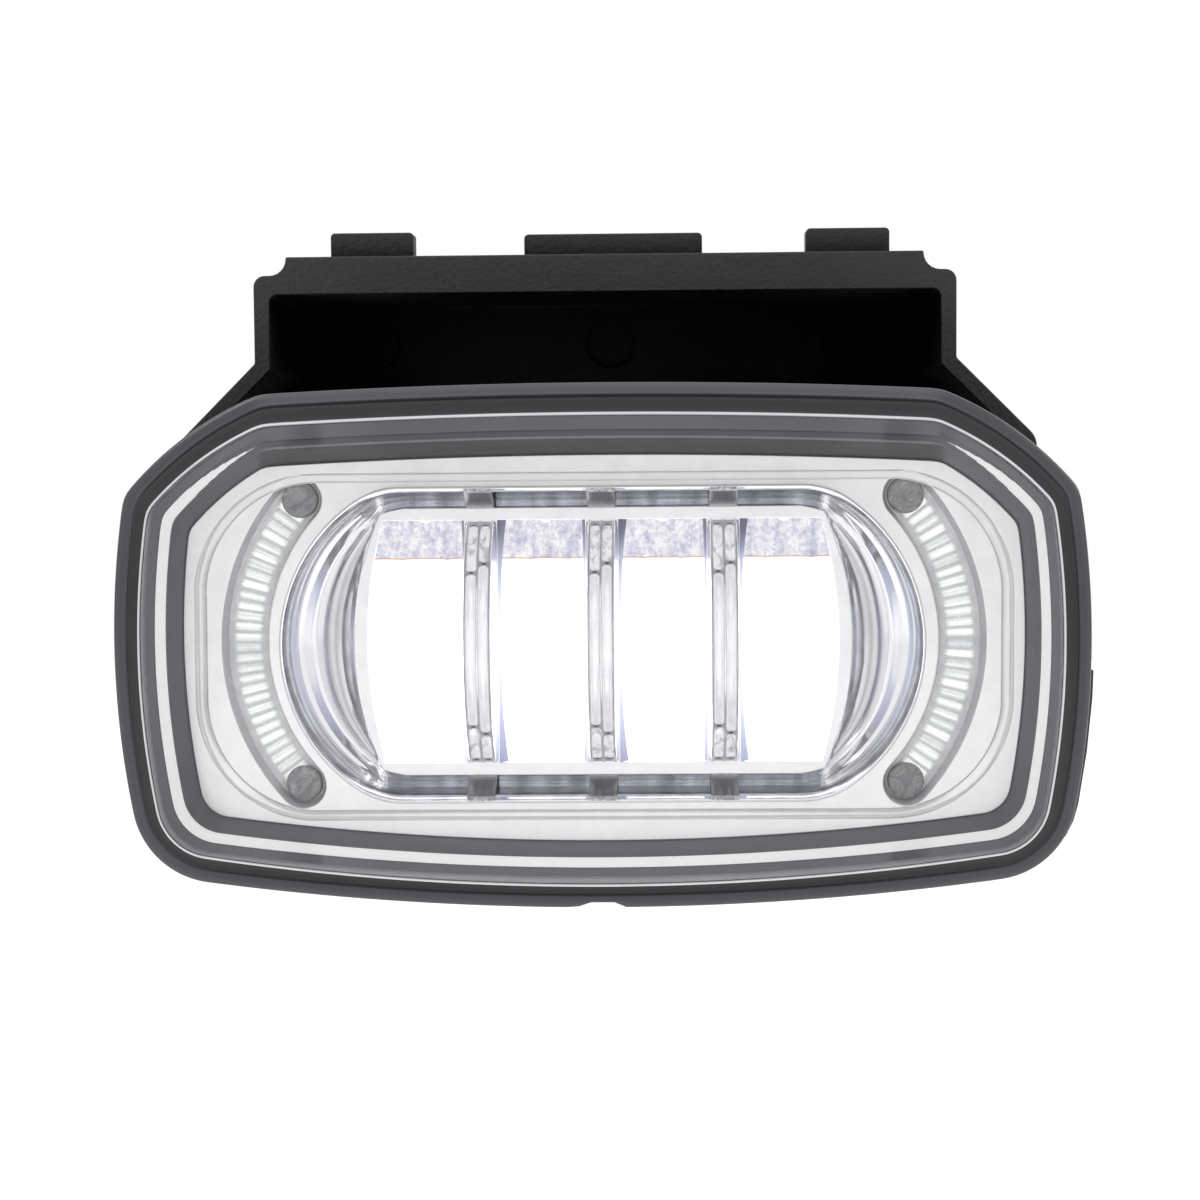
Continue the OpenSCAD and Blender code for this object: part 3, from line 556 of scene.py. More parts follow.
def cheek():
    """The bowed side wall of a cell: a painted reflection, as emission, of the darker inside with a blue
    cast.
    """
    p = Paint("cell_cheek", Roughness=0.2, Metallic=0.4, Emission_Strength=0.85)
    streak = p.noise(1.0, 3, 0.6, stretch=(700, 300, 90))
    colour = p.ramp(p.math("ADD", p.tone(), p.math("MULTIPLY", streak, 0.3)),
                    [(0.15, (0.74, 0.78, 0.98)), (0.45, (0.42, 0.45, 0.68)), (0.85, (0.20, 0.20, 0.29)),
                     (1.1, (0.10, 0.10, 0.15))])
    p.set(Base_Color=(0.05, 0.05, 0.07, 1), Emission_Color=colour)
    return p.mat


def bars():
    """Lit light-guide bars: white hot in the middle of each with faint green and yellow edges."""
    p = Paint("guide_bars", Roughness=0.12, Emission_Strength=0.8)
    colour = p.ramp(p.weighted(p.tone(), 0.75, p.noise(1400, 3, 0.7), 0.35),
                    [(0.16, (0.22, 0.23, 0.25)), (0.36, (0.42, 0.44, 0.47)), (0.56, (0.77, 0.80, 0.74)),
                     (0.74, (1, 1, 1))])
    p.set(Base_Color=(0.42, 0.44, 0.43, 1), Emission_Color=colour)
    return p.mat


def guide_body():
    """Pale light-guide plastic beside and below the bars."""
    p = Paint("guide_body", Roughness=0.1, Coat_Weight=0.4, Emission_Color=WHITE, Emission_Strength=0.12)
    cloud = p.noise(320, 3, 0.6, 0.6)
    p.set(Base_Color=p.ramp(cloud, [(0.3, (0.50, 0.495, 0.51)), (0.7, (0.68, 0.675, 0.69))]))
    p.bump(p.noise(500, 2), 0.12, 0.0003)
    return p.mat


def swirl():
    """Foot of a light guide: grey depths with curled flow lines."""
    p = Paint("guide_foot", Roughness=0.12, Coat_Weight=0.8)
    curl = p.noise(190, 1, 0.4, 3.2)
    greys = [(0.0, (0.23, 0.23, 0.24)), (0.2, (0.36, 0.36, 0.37)), (0.36, (0.25, 0.25, 0.26)),
             (0.55, (0.40, 0.40, 0.41)), (0.9, (0.66, 0.66, 0.67))]
    p.set(Base_Color=p.ramp(p.weighted(p.math("SUBTRACT", curl, 0.5), 1.6, p.tone(), 0.55), greys))
    p.bump(curl, 0.1, 0.0003)
    return p.mat


def led_dome():
    """Yellow phosphor of a lit LED."""
    p = Paint("led_phosphor", Roughness=0.25, Emission_Color=(1.0, 0.97, 0.88, 1), Emission_Strength=2.0)
    p.set(Base_Color=p.ramp(p.noise(900, 2), [(0.3, (0.80, 0.62, 0.12)), (0.7, (0.95, 0.80, 0.25))]))
    return p.mat


M = {
    # The bracket's finish has painted shade in its recesses.
    "bracket": plastic(
        "bracket_grain", (0.008, 0.008, 0.009), (0.022, 0.022, 0.024), rough=(0.42, 0.60), grain=1300,
        depth=0.9, blotch=40, level=0.36, painted_shade_reach=0.06),
    "housing": plastic(
        "housing_black", (0.006, 0.006, 0.007), (0.016, 0.016, 0.018), rough=(0.32, 0.5), grain=2400,
        depth=0.2, blotch=60),
    "socket": plastic(
        "socket_black", (0.010, 0.010, 0.011), (0.022, 0.022, 0.023), rough=(0.3, 0.45), grain=3000,
        depth=0.15, blotch=80),
    "acetal": plastic(
        "acetal", (0.62, 0.60, 0.53), (0.76, 0.74, 0.67), rough=(0.3, 0.42), grain=2200, depth=0.08,
        blotch=120),
    "rubber": plastic(
        "seal_black", (0.010, 0.010, 0.010), (0.020, 0.020, 0.020), rough=(0.65, 0.85), grain=2600,
        depth=0.3, blotch=90, level=0.3),
    "orange": plastic(
        "seal_orange", (0.42, 0.10, 0.02), (0.58, 0.17, 0.04), rough=(0.5, 0.7), grain=2600, depth=0.2,
        blotch=90, level=0.35),
    "pad": plastic(
        "thermal_pad", (0.28, 0.34, 0.42), (0.38, 0.46, 0.54), rough=(0.6, 0.8), grain=1800, depth=0.3,
        blotch=70, level=0.3),
    "part": plastic(
        "component_black", (0.03, 0.03, 0.032), (0.06, 0.06, 0.062), rough=(0.35, 0.5), grain=2400,
        depth=0.15, blotch=300),
    "wire": plastic(
        "wire_white", (0.58, 0.58, 0.57), (0.74, 0.74, 0.72), rough=(0.3, 0.45), grain=2400, depth=0.1,
        blotch=90),
    "board_white": plastic(
        "board_white", (0.70, 0.70, 0.67), (0.82, 0.82, 0.80), rough=(0.25, 0.4), grain=2600, depth=0.06,
        blotch=60),
    "board_green": plastic(
        "board_green", (0.010, 0.10, 0.035), (0.022, 0.17, 0.06), rough=(0.2, 0.35), grain=2600,
        depth=0.06, blotch=240),
    "channel": plastic(
        "guide_channel", (0.55, 0.545, 0.565), (0.72, 0.715, 0.735), rough=(0.12, 0.25), grain=900,
        depth=0.06, blotch=160, level=0.6),
    "cast": metal(
        "cast_aluminium", (0.055, 0.057, 0.062), (0.11, 0.113, 0.12), rough=(0.35, 0.55),
        scratch=(900, 900, 900), depth=0.25, metallic=0.75),
    "steel": metal(
        "zinc_steel", (0.50, 0.50, 0.49), (0.74, 0.74, 0.72), rough=(0.18, 0.36),
        scratch=(500, 500, 2600), depth=0.05),
    "brass": metal(
        "brass", (0.56, 0.40, 0.15), (0.78, 0.58, 0.26), rough=(0.22, 0.38),
        scratch=(600, 3000, 600), depth=0.06),
    "gold": metal(
        "gold_flash", (0.72, 0.50, 0.17), (0.88, 0.66, 0.27), rough=(0.12, 0.25),
        scratch=(600, 3000, 600), depth=0.03),
    # The bezel and rib chromes carry a painted light as emission.
    "chrome": mirror(
        "bezel_chrome", (0.82, 0.82, 0.83), (0.91, 0.91, 0.915), rough=(0.12, 0.20), wave=0.03,
        metallic=0.40, painted_glow=0.17),
    # The trench chrome is the bezel's chrome with painted shade: darker to stand in for the trench's shade
    # and dark reflections.
    "chrome_painted_shade": mirror(
        "trench_chrome_painted_shade", (0.38, 0.385, 0.41), (0.66, 0.67, 0.71), rough=(0.06, 0.16), wave=0.10),
    "rib": mirror(
        "rib_chrome", (0.78, 0.78, 0.80), (0.94, 0.94, 0.96), rough=(0.08, 0.16), wave=0.06,
        metallic=0.6, painted_glow=0.05),
    "bowl": bowl(), "rib_end": rib_end(), "rib_flute": rib_flute(), "lens_rim": lens_rim(),
    "lens_wall": lens_wall(), "window": window(), "block": block(), "cells": lit_cells(),
    "cheek": cheek(), "bars": bars(), "guide": guide_body(), "foot": swirl(), "led": led_dome()}


# ---- Lens -------------------------------------------------------------------
WINDOW_IN = 6.75
WALL_BACK = 18.5
# Painted light and shade of the wall below the crown: its tone up to each depth.
CROWN_BANDS = [(6.2, 0.54), (7.2, 0.22), (9.6, 0.36), (10.6, 0.66), (WALL_BACK + 1, 0.24)]


def dome(ring):
    """Depth of the lens's outer surface."""
    return -DOME_H + (ring ** 2).sum(1) / (2 * DOME_R)


TOP = is_top()


def lens():
    """Clear lens: its rim, the window and the wall behind it, with a small notch at the bottom."""
    p = Piece()
    edge = lens_outline(0)
    notch = np.clip((4.4 - np.abs(edge[:, 0] + 0.65)) / 1.2, 0, 1) * (edge[:, 1] < 0)

    def out(t, cut=0.0):
        ring = lens_outline(t)
        ring[:, 1] += notch * cut
        return ring

    def step(t, behind):
        """Station a given depth behind the dome's surface."""
        ring = out(t)
        return ring, dome(ring) + behind

    # The rim from its hidden back edge round the front to the window: outline, depth and tone. The tone is
    # painted light: a painted highlight along the front edge, a little stronger along the crown, and a
    # brighter painted highlight on the ridge at the window.
    painted_edge_highlight = 0.40 + 0.08 * TOP
    rim = [
        (out(4.0), 17, 0.1), (out(1.4), 17, 0.1), (out(1.4), 3, 0.2), (out(0.1, 1.0), 3, 0.2),
        (out(0, 1.0), 2.8, 0.2), (out(0, 1.0), 0.7, 0.25), (out(0.1, 1.0), 0.35, 0.4),
        (out(0.3, 0.9), 0.12, painted_edge_highlight), (out(0.65, 0.6), 0.0, painted_edge_highlight),
        (out(1.4, 0.1), 0.0, painted_edge_highlight - 0.03), (out(2.2), 0.0, painted_edge_highlight), (out(2.45), 0.05, 0.38),
        (out(2.75), 0.22, 0.26), (out(3.1), 0.32, 0.22), (out(5.6), 0.36, 0.26), (out(5.95), 0.2, 0.34),
        (*step(6.05, 0.9), 0.55), (*step(6.12, 0.45), 0.74),
        (*step(6.28, 0.12), 0.84), (*step(6.5, 0.0), 0.80), (*step(WINDOW_IN, 0.02), 0.6)]
    p.rings([s[:2] for s in rim], 0, [s[2] for s in rim])
    pane = out(WINDOW_IN)
    p.rings([(pane * f, dome(pane * f) + 0.02) for f in np.linspace(1, 0.02, 26)], 1)

    # Wall behind the dome, with painted bands of light and shade standing in for the look that the thick
    # clear rim gives it. The painted white band, also lit by emission, tapers off toward the crown, where the
    # painted bands run in another order.
    across = np.arange(len(TOP))
    turn = np.minimum(np.abs(across - TOP_FROM), np.abs(across - (RING - TOP_FROM)))
    taper = 3 * np.where(TOP > 0.5, 1.0, np.clip(1 - turn / 26, 0, 1) ** 1.4)
    stations, tones = [step(6.8, 0.5), (out(6.5), 0.4)], [0.55, 0.52]
    for d in np.linspace(0.4, WALL_BACK, 48):
        share = d / WALL_BACK
        stations.append((lens_outline(6.3 + 4.9 * share, 0.4 + 3.3 * share), d))
        painted_white_band = (d > 4.7 + taper) & (d < 10.0 - taper)
        side = np.where(d < 4.6, 0.56, np.where(painted_white_band, 0.97, 0.44 + 0.06 * math.sin(5 * d)))
        crown = next(tone for back, tone in CROWN_BANDS if d < back)
        tones.append(side * (1 - TOP) + crown * TOP)
    p.rings(stations, 2, tones)
    mats = [M["lens_rim"], M["window"], M["lens_wall"]]
    return p.done("lens_shell", mats, "head", ["lens_cover"], sharp=40)


# ---- Bezel, collar and the bright ring inside it ------------------------------
# CORNER and FRAME_END are the corner and the middle of the cells' bowed frame end. The trench runs round the frame inside
# the collar and has the profile GROOVE, and between the corners it opens up to the profile BOWL.
# Profiles go from the frame at 0 to the collar at 1, with the depth at each place.
CORNER, FRAME_END = np.array([46.9, 27.2]), 52.5
COLLAR_IN, COLLAR_BACK = 1.8, 15.0
GROOVE = [(0.0, PLATE), (0.03, 17.9), (0.12, 18.9), (0.3, 19.8), (0.5, 20.1), (0.7, 19.6), (0.86, 18.2),
          (0.95, 16.6), (1.0, COLLAR_BACK)]
BOWL = [(0.0, PLATE), (0.03, 18.3), (0.10, 18.8), (0.19, 19.3), (0.225, 20.3), (0.30, 20.5), (0.46, 20.4),
        (0.52, 20.9), (0.64, 21.5), (0.69, 21.5), (0.74, 21.2), (0.86, 20.5), (0.90, 20.4), (0.945, 20.2),
        (0.97, 18.8), (1.0, COLLAR_BACK)]
# Tone of a bowl along the same run: a painted shade crescent by the frame and thin painted reflections past
# it.
CRESCENT = [(0, 0.8), (0.12, 0.9), (0.2, 0), (0.26, 0.5), (0.34, 0.2), (0.40, 0.6), (0.47, 0.1), (0.56, 0.8),
            (0.7, 1), (0.8, 0.85), (1, 1)]
WALL = oblong_side(COLLAR_IN)
WALL = WALL[np.abs(WALL[:, 1]) < 31.0]
WALL_RUN = np.concatenate([[0], np.cumsum(np.hypot(*np.diff(WALL, axis=0).T))])
WALL_END = WALL[-1]


def profile(points, s):
    """Value at s of a profile given as pairs."""
    return np.interp(s, [q[0] for q in points], [q[1] for q in points])


def fan(s, phi, side):
    """Points across the end bowl: s is 0 at the cells and 1 at the collar, phi runs from -1 to 1."""
    bulge = FRAME_END - CORNER[0]
    r = (CORNER[1] ** 2 + bulge * bulge) / (2 * bulge)
    a = phi * math.asin(CORNER[1] / r)
    near = np.stack([CORNER[0] + bulge - r + r * np.cos(a), r * np.sin(a)], -1)
    run = (phi + 1) / 2 * WALL_RUN[-1]
    far = np.stack([np.interp(run, WALL_RUN, WALL[:, 0]), np.interp(run, WALL_RUN, WALL[:, 1])], -1)
    w = (s ** (1 + 1.6 * np.abs(phi) ** 5))[..., None]
    return (near * (1 - w) + far * w) * [side, 1], w[..., 0]


def bezel_plate(p):
    """Outer plate, the step between the plates, and the inner plate with its light-guide channels."""
    outer = rounded(-86.7, 86.7, -38.1, 35.9, 26, 16)
    inner = rounded(-84.2, 84.2, -36.0, 34.15, 24, 16)
    p.shape([lens_outline(11.2, 3.7), outer], 17.72, 20.5, 0.15)
    windows = [arc_band(40, 50, DRL_ANGLE, side) for side in (1, -1)]
    steps = [(0.0, 17.72), (0.03, 17.66), (0.06, 17.63), (0.5, 17.60), (0.94, 17.57), (0.97, 17.55),
             (1.0, PLATE)]
    p.rings([(outer * (1 - s) + inner * s, d) for s, d in steps])
    p.shape([inner, oblong(0)] + windows, PLATE, 19.0, 0.25)
    for side in (1, -1):
        walls = [(40.1, 49.9, 17.75), (40.3, 49.7, 18.4), (40.9, 49.1, 21.8)]
        p.rings([(arc_band(a, b, DRL_ANGLE, side), d) for a, b, d in walls], 4, flip=True)


def collar(p):
    """Oblong collar: its bright outer half, then its inner half down to the trench in chrome painted darker
    as shade.
    """
    bright = [(0, 18.4), (0, 9.3), (0.06, 8.95), (0.2, 8.66), (0.4, 8.52), (0.55, 8.6), (0.7, 8.85)]
    dark = [(0.7, 8.85), (0.95, 9.5), (1.25, 10.5), (1.55, 12.0), (1.74, 13.6), (COLLAR_IN, COLLAR_BACK)]
    p.rings([(oblong(t), d) for t, d in bright], 0, flip=True)
    p.rings([(oblong(t), d) for t, d in dark], 1, flip=True)


def end_bowls(p):
    """Bowls at both ends, which narrow to the trench's groove at their corners."""
    across, phi = np.linspace(0, 1, 67), np.linspace(-1, 1, 81)
    open_up = np.clip((1 - np.abs(phi)) / 0.2, 0, 1)
    open_up = open_up * open_up * (3 - 2 * open_up)
    crescent = np.interp(across, [c[0] for c in CRESCENT], [c[1] for c in CRESCENT])
    shade = 1 - (1 - crescent)[:, None] * (0.25 + 0.75 * open_up)[None, :]
    for side in (1, -1):
        rows = []
        for s in across:
            xz, w = fan(s, phi, side)
            wavy = s + 0.08 * s * (1 - s) * np.sin(3 * phi + 1.2 * side)
            d = profile(GROOVE, w) * (1 - open_up) + profile(BOWL, wavy) * open_up
            rows.append(np.stack([xz[:, 0], d, xz[:, 1]], 1))
        p.grid(np.stack(rows), 2, tone=shade, flip=side < 0)


def trench(p):
    """Straight stretches of the trench above and below the cells."""
    x = np.linspace(-1, 1, 61)
    wall_x = x * WALL_END[0]
    flat = oblong_side(COLLAR_IN)[-15:]
    flat = flat[np.argsort(flat[:, 0])]
    wall_z = np.interp(np.abs(wall_x), flat[:, 0], flat[:, 1])
    bend = np.clip((np.abs(x) - 0.84) / 0.16, 0, 1) ** 2 * (FRAME_TOP - CORNER[1])
    for up in (1, -1):
        rows = []
        for s in np.linspace(0, 1, 31):
            z = (FRAME_TOP - bend) * (1 - s) + wall_z * s
            row_x = x * CORNER[0] * (1 - s) + wall_x * s
            rows.append(np.stack([row_x, np.full(len(x), profile(GROOVE, s)), up * z], 1))
        # Material 1 is the chrome with painted shade.
        p.grid(np.stack(rows), 1, flip=up > 0)


def bridge_blocks(p):
    """Blocks that bridge the trench above and below each rib: painted dark as a reflection, with a frosted
    outer end that carries a painted highlight.
    """
    edge = [(2.95, 3.0), (2.95, 0.5), (2.87, 0.15), (2.6, 0.0)]
    cross = np.array([(-x, d) for x, d in edge] + [(0, -0.05)] + edge[::-1])
    run = [(33.1, 9.6, 1), (33.0, 9.0, 1), (32.7, 8.62, 1), (32.3, 8.6, 1), (31.9, 9.0, 0.9), (31.7, 9.6, 0),
           (30.6, 12.0, 0), (29.2, 14.8, 0), (28.6, 16.3, 0.1), (28.45, 17.0, 0.5), (FRAME_TOP, 17.8, 0.5)]
    n = len(cross)
    tone = np.stack([np.full(n, t) for _, _, t in run])
    for x0 in RIB_X:
        for up in (1, -1):
            rows = [np.stack([x0 + cross[:, 0], d + cross[:, 1], np.full(n, up * z)], 1) for z, d, _ in run]
            p.grid(np.stack(rows), 3, tone=tone, flip=up < 0)


def bezel():
    """Chrome bezel in one piece, from the outer plate to the trench round the cells."""
    p = Piece()
    bezel_plate(p)
    collar(p)
    end_bowls(p)
    trench(p)
    bridge_blocks(p)
    mats = [M["chrome"], M["chrome_painted_shade"], M["bowl"], M["block"], M["channel"]]
    return p.done("bezel_plate", mats, "head", ["bezel"])


# ---- Cells and ribs -----------------------------------------------------------
CELLS = 4
CELL_DEPTH = 56.0


def end_bow(z):
    """Half width of the cells' opening at height z, with bowed ends."""
    return 46.3 + 3.6 * (1 - (z / CELL_TOP) ** 2)


def opening(k):
    """Outline of cell opening k from the left, anticlockwise."""
    z = np.linspace(-CELL_TOP, CELL_TOP, 24)
    lo, hi = (k - 2) * CELL_PITCH + RIB_HALF, (k - 1) * CELL_PITCH - RIB_HALF
    right = np.stack([end_bow(z) if k == CELLS - 1 else np.full(len(z), hi), z], 1)
    left = np.stack([-end_bow(z) if k == 0 else np.full(len(z), lo), z], 1)
    return np.concatenate([right, left[::-1]])


def cell_frame(p):
    """Bright face round the four openings."""
    phi = np.linspace(-1, 1, 40)
    right = fan(0.0, phi, 1)[0]
    left = fan(0.0, phi, -1)[0][::-1]
    top = np.array([[44.6, 27.9], [42.0, FRAME_TOP], [-42.0, FRAME_TOP], [-44.6, 27.9]])
    frame_edge = np.concatenate([right, top, left, top[::-1] * [1, -1]])
    p.shape([frame_edge] + [opening(k) for k in range(CELLS)], PLATE, 18.6, 0.2, 0)


def reflectors(p):
    """Lit back of each cell, in three shallow facets, and the outer ends of the end cells."""
    z = np.concatenate([
        np.linspace(-CELL_TOP - 1.2, 13, 41), np.linspace(13.3, 18.5, 24), np.linspace(19, 26.0, 14)])
    depth_at = CELL_DEPTH - np.minimum(z - 24, 0) ** 2 / 72
    reach = end_bow(z) + 0.8 + 7.0 * np.clip((depth_at - 22.5) / 4, 0, 1)
    lit = np.clip((16.5 - z) / 1.4, 0, 1)
    run = np.linspace(0, 1, 31)
    facet = (run * 3) % 1.0
    bulge = 4 * facet * (1 - facet)
    seam = (facet < 0.06) | (facet > 0.94)
    for k in range(CELLS):
        lo = -reach if k == 0 else np.full(len(z), (k - 2) * CELL_PITCH)
        hi = reach if k == CELLS - 1 else np.full(len(z), (k - 1) * CELL_PITCH)
        xs = lo[:, None] + (hi - lo)[:, None] * run
        depth = depth_at[:, None] + bulge[None, :] - 0.8
        tone = lit[:, None] - 0.10 * seam[None, :] * (z > 10)[:, None]
        pts = np.stack([xs, depth, np.broadcast_to(z[:, None], depth.shape)], -1)
        p.grid(pts, 1, tone=tone)
    for side in (1, -1):
        walls = [(end_bow(z) + 0.1, np.full(len(z), 17.9)), (end_bow(z) + 1.0, np.full(len(z), 19.5)),
                 (reach, depth_at - 0.8)]
        rows = [np.stack([side * x, d, z], 1) for x, d in walls]
        p.grid(np.stack(rows), 1, tone=np.stack([lit] * 3), flip=side < 0)


def cheeks(p):
    """Bowed cheeks beside the ribs, wide at their ends and narrow in the middle, and painted dark at their
    ends and pale in the middle as a reflection.
    """
    z = np.linspace(-CELL_TOP, CELL_TOP, 41)
    away = np.abs(z / CELL_TOP)
    # Tone of the painted reflection: darker toward the ends, more so at the top.
    dark = away ** 1.6 * np.where(z > 0, 1.0, 0.5)
    for x0 in RIB_X:
        for side, low, extra in ((1, 0.5, 1.3), (-1, 0.4, 0.35)):
            w = low + extra * away ** 3 + 0.4
            rows = []
            for share, d in ((0, 17.7), (0.5, 18.8), (1, 20.4)):
                rows.append(np.stack([x0 + side * (3.1 + share * w), np.full(len(z), d), z], 1))
            p.grid(np.stack(rows), 2, tone=np.stack([dark] * 3), flip=side < 0)


def cells():
    """Reflector with its frame, four lit cells and their cheeks."""
    p = Piece()
    cell_frame(p)
    reflectors(p)
    cheeks(p)
    mats = [M["chrome"], M["cells"], M["cheek"]]
    return p.done("cell_reflector", mats, "head", ["reflector"])


RIB_END, FLUTE_END, RIB_FOOT = 25.7, 24.9, 18.2
BOW_R, BOW_FRONT = 29.7, 2.0


def bow(z):
    """Depth of a rib's front, which bows forward."""
    return BOW_FRONT + BOW_R - np.sqrt(np.maximum(BOW_R ** 2 - np.asarray(z, float) ** 2, 1.0))


def sweep(p, x0, section, mat, z, tone=0.0, **how):
    """Carries a cross-section (x, depth behind the bow) along the rib's front."""
    rows = [np.stack([x0 + section[:, 0], bow(zz) + section[:, 1], np.full(len(section), zz)], 1) for zz in z]
    p.grid(np.stack(rows), mat, tone=tone, **how)


def rib_sides(p, x0, rise):
    """Sides of a rib with the rounded edges that lead into its front."""
    side = [[2.86, 0.85], [2.8, 0.5], [2.68, 0.2], [2.5, 0.08]]
    land = [[2.44, 0.1], [2.36, 0.2], [2.25, 0.5]]
    shade = 0.1 + 0.9 * np.abs(rise / RIB_END) ** 1.6 * np.where(rise > 0, 1.0, 0.5)
    for s in (1, -1):
        front = np.array([[RIB_HALF, 18.0]] + side + land) * [s, 1]
        rows = []
        for z in rise:
            d = np.concatenate([[RIB_FOOT], np.minimum(bow(z) + front[1:, 1], RIB_FOOT)])
            rows.append(np.stack([x0 + front[:, 0], d, np.full(len(front), z)], 1))
        pts = np.stack(rows)
        p.grid(pts[:, :2], 2, tone=np.repeat(shade[:, None], 2, 1), flip=s > 0)
        p.grid(pts[:, 1:], 0, flip=s > 0)


def flute(p, x, z0, z1, mat):
    """One hollow segment of a flute from z0 to z1, with round ends."""
    z = z0 + (z1 - z0) * (0.5 - 0.5 * np.cos(np.linspace(0, math.pi, 33)))
    edge = np.minimum(z - z0, z1 - z)
    end = np.sqrt(np.clip(1 - np.clip(1 - edge / 1.05, 0, 1) ** 2, 0.0, 1))
    dip = np.clip(1 - edge / 0.7, 0, 1) ** 2 * 0.35
    u = np.linspace(-1, 1, 13)
    hollow = 0.95 - 0.42 * u ** 2 - 0.25 * np.clip((np.abs(u) - 0.8) / 0.2, 0, 1)
    rows = []
    for zz, e, q in zip(z, end, dip):
        rows.append(np.stack([x + u * e, bow(zz) + hollow * (0.3 + 0.7 * e) + q, np.full(len(u), zz)], 1))
    # The tone is painted light: the flute's painted emission fades out toward the segment's ends, darker
    # there, and dims a little toward its edges.
    open_part = 1 - np.clip(1 - edge / 0.6, 0, 1)
    tone = open_part[:, None] * (1 - 0.4 * np.abs(u) ** 3)[None, :]
    p.grid(np.stack(rows), mat, tone=tone, flip=True)


def ribs():
    """Three bowed ribs between the cells, each with a ridge between two flutes."""
    p = Piece()
    rise = np.linspace(-RIB_END, RIB_END, 75)
    ridge = np.array([[-0.26, 0.5], [-0.2, 0.2], [-0.1, 0.08], [0.1, 0.08], [0.2, 0.2], [0.26, 0.5]])
    back = np.stack([np.linspace(-2.3, 2.3, 5), np.full(5, 1.0)], 1)
    for x0 in RIB_X:
        rib_sides(p, x0, rise)
        sweep(p, x0, ridge, 0, rise, flip=True)
        for s, high, low in ((-1, 15.2, -17.0), (1, 17.0, -18.6)):
            for z0, z1, mat in ((-FLUTE_END, low, 3), (low, high, 1), (high, FLUTE_END, 3)):
                flute(p, x0 + s * 1.26, z0, z1, mat)
        sweep(p, x0, back, 1, rise, tone=0.42, flip=True)
    mats = [M["rib"], M["rib_flute"], M["cheek"], M["rib_end"]]
    return p.done("rib_covers", mats, "head", ["rib_trims"], sharp=35)


# ---- Light guides -------------------------------------------------------------
BARS, BAR_FROM, BAR_LONG = 30, 41.9, 5.9
# Front faces of a guide's foot: radius and depth.
FOOT = [(3.9, 21.9), (3.9, 20.2), (3.75, 19.85), (3.45, 19.65), (2.6, 19.6), (1.4, 19.75), (0.5, 19.9),
        (0.02, 19.95)]
# The guide's body: inner radius, outer radius and depth.
GUIDE = [(40.5, 49.5, 25.5), (40.5, 49.5, 21.6), (40.8, 49.2, 21.45), (41.3, 48.7, 21.5), (41.7, 48.3, 21.9),
         (43.4, 46.6, 22.0), (44.99, 45.01, 22.0)]


def guide_bars(p, side):
    """Rounded bars across the guide, with uneven brightness."""
    step = 2 * math.radians(DRL_ANGLE) / BARS
    radial = np.array([0, 0.04, 0.12, 0.3, 0.5, 0.7, 0.88, 0.96, 1.0])
    across = np.linspace(-1, 1, 9)
    endfall = np.minimum(1, np.minimum(radial, 1 - radial) / 0.12)[:, None]
    crown = np.sqrt(np.clip(1 - (across * 0.99) ** 2, 0, 1))[None, :]
    d = 21.9 - 1.3 * crown * (0.35 + 0.65 * np.sqrt(endfall))
    for i in range(BARS):
        mid = -math.radians(DRL_ANGLE) + (i + 0.5) * step
        rr, aa = np.meshgrid(BAR_FROM + BAR_LONG * radial, mid + across * step * 0.41, indexing="ij")
        bright = 1.0 if i % 5 in (0, 3) else 0.62 + 0.26 * random.random()
        streak = np.array([0.45 + 0.55 * random.random() for _ in across])[None, :]
        tone = bright * streak * (0.1 + 0.9 * crown ** 1.2) * (0.5 + 0.5 * endfall)
        pts = np.stack([side * (END_X + rr * np.cos(aa)), d, rr * np.sin(aa)], -1)
        p.grid(pts, 0, tone=tone, flip=side > 0)


def guides(side):
    """Light guide of one side: body, lit bars and two round feet."""
    p = Piece()
    name = "right" if side > 0 else "left"
    p.rings([(arc_band(a, b, DRL_ANGLE, side), d) for a, b, d in GUIDE], 1)
    guide_bars(p, side)
    for up in (1, -1):
        a = up * math.radians(DRL_ANGLE)
        c = np.array([side * (END_X + DRL_R * math.cos(a)), DRL_R * math.sin(a)])
        faces = [(arc(c, r, 0, 2 * math.pi, 40), d) for r, d in FOOT]
        p.rings(faces, 2, [0.6 * r / FOOT[0][0] for r, _ in FOOT], flip=True)
    mats = [M["bars"], M["guide"], M["foot"]]
    return p.done("light_guide_" + name, mats, "head", ["drl_guide_" + name], sharp=40)


lens()
bezel()
cells()
ribs()
guides(-1)
guides(1)


# ---- CAD parts that keep their own mesh ----------------------------------------
FINISHES = {
    "bracket": ["bracket"],
    "housing": ["housing"],
    "socket": ["connector_socket"],
    "acetal": ["pivot_bushing_left", "pivot_bushing_right", "adjuster_bushing", "adjuster_clip",
               "adjuster_nut"],
    "rubber": ["lens_seal", "breather_vent"],
    "orange": ["heat_sink_gasket", "connector_gasket"],
    "pad": ["thermal_pad"],
    "cast": ["heat_sink"],
    "board_white": ["led_board"],
    "board_green": ["driver_board", "drl_board_left", "drl_board_right"],
    "part": ["driver_parts"],
    "led": ["main_leds", "drl_leds"],
    "wire": ["drl_leads"],
    "gold": ["connector_terminals"],
    "brass": ["pivot_inserts"],
    "steel": ["bolt_limiters", "heat_sink_screws", "driver_screws", "bezel_screws", "led_board_screws",
              "adjuster_screw", "pivot_screw_left", "pivot_screw_right"]}
FINISH = {name: finish for finish, names in FINISHES.items() for name in names}
# Width of the rounded edges in millimetres, where it isn't the usual one.
ROUNDED = {"bracket": 0.35, "housing": 0.3, "heat_sink": 0.35, "connector_socket": 0.25}
USUAL_ROUNDING = 0.12
REPLACED = {"lens_cover", "bezel", "reflector", "rib_trims", "drl_guide_left", "drl_guide_right"}


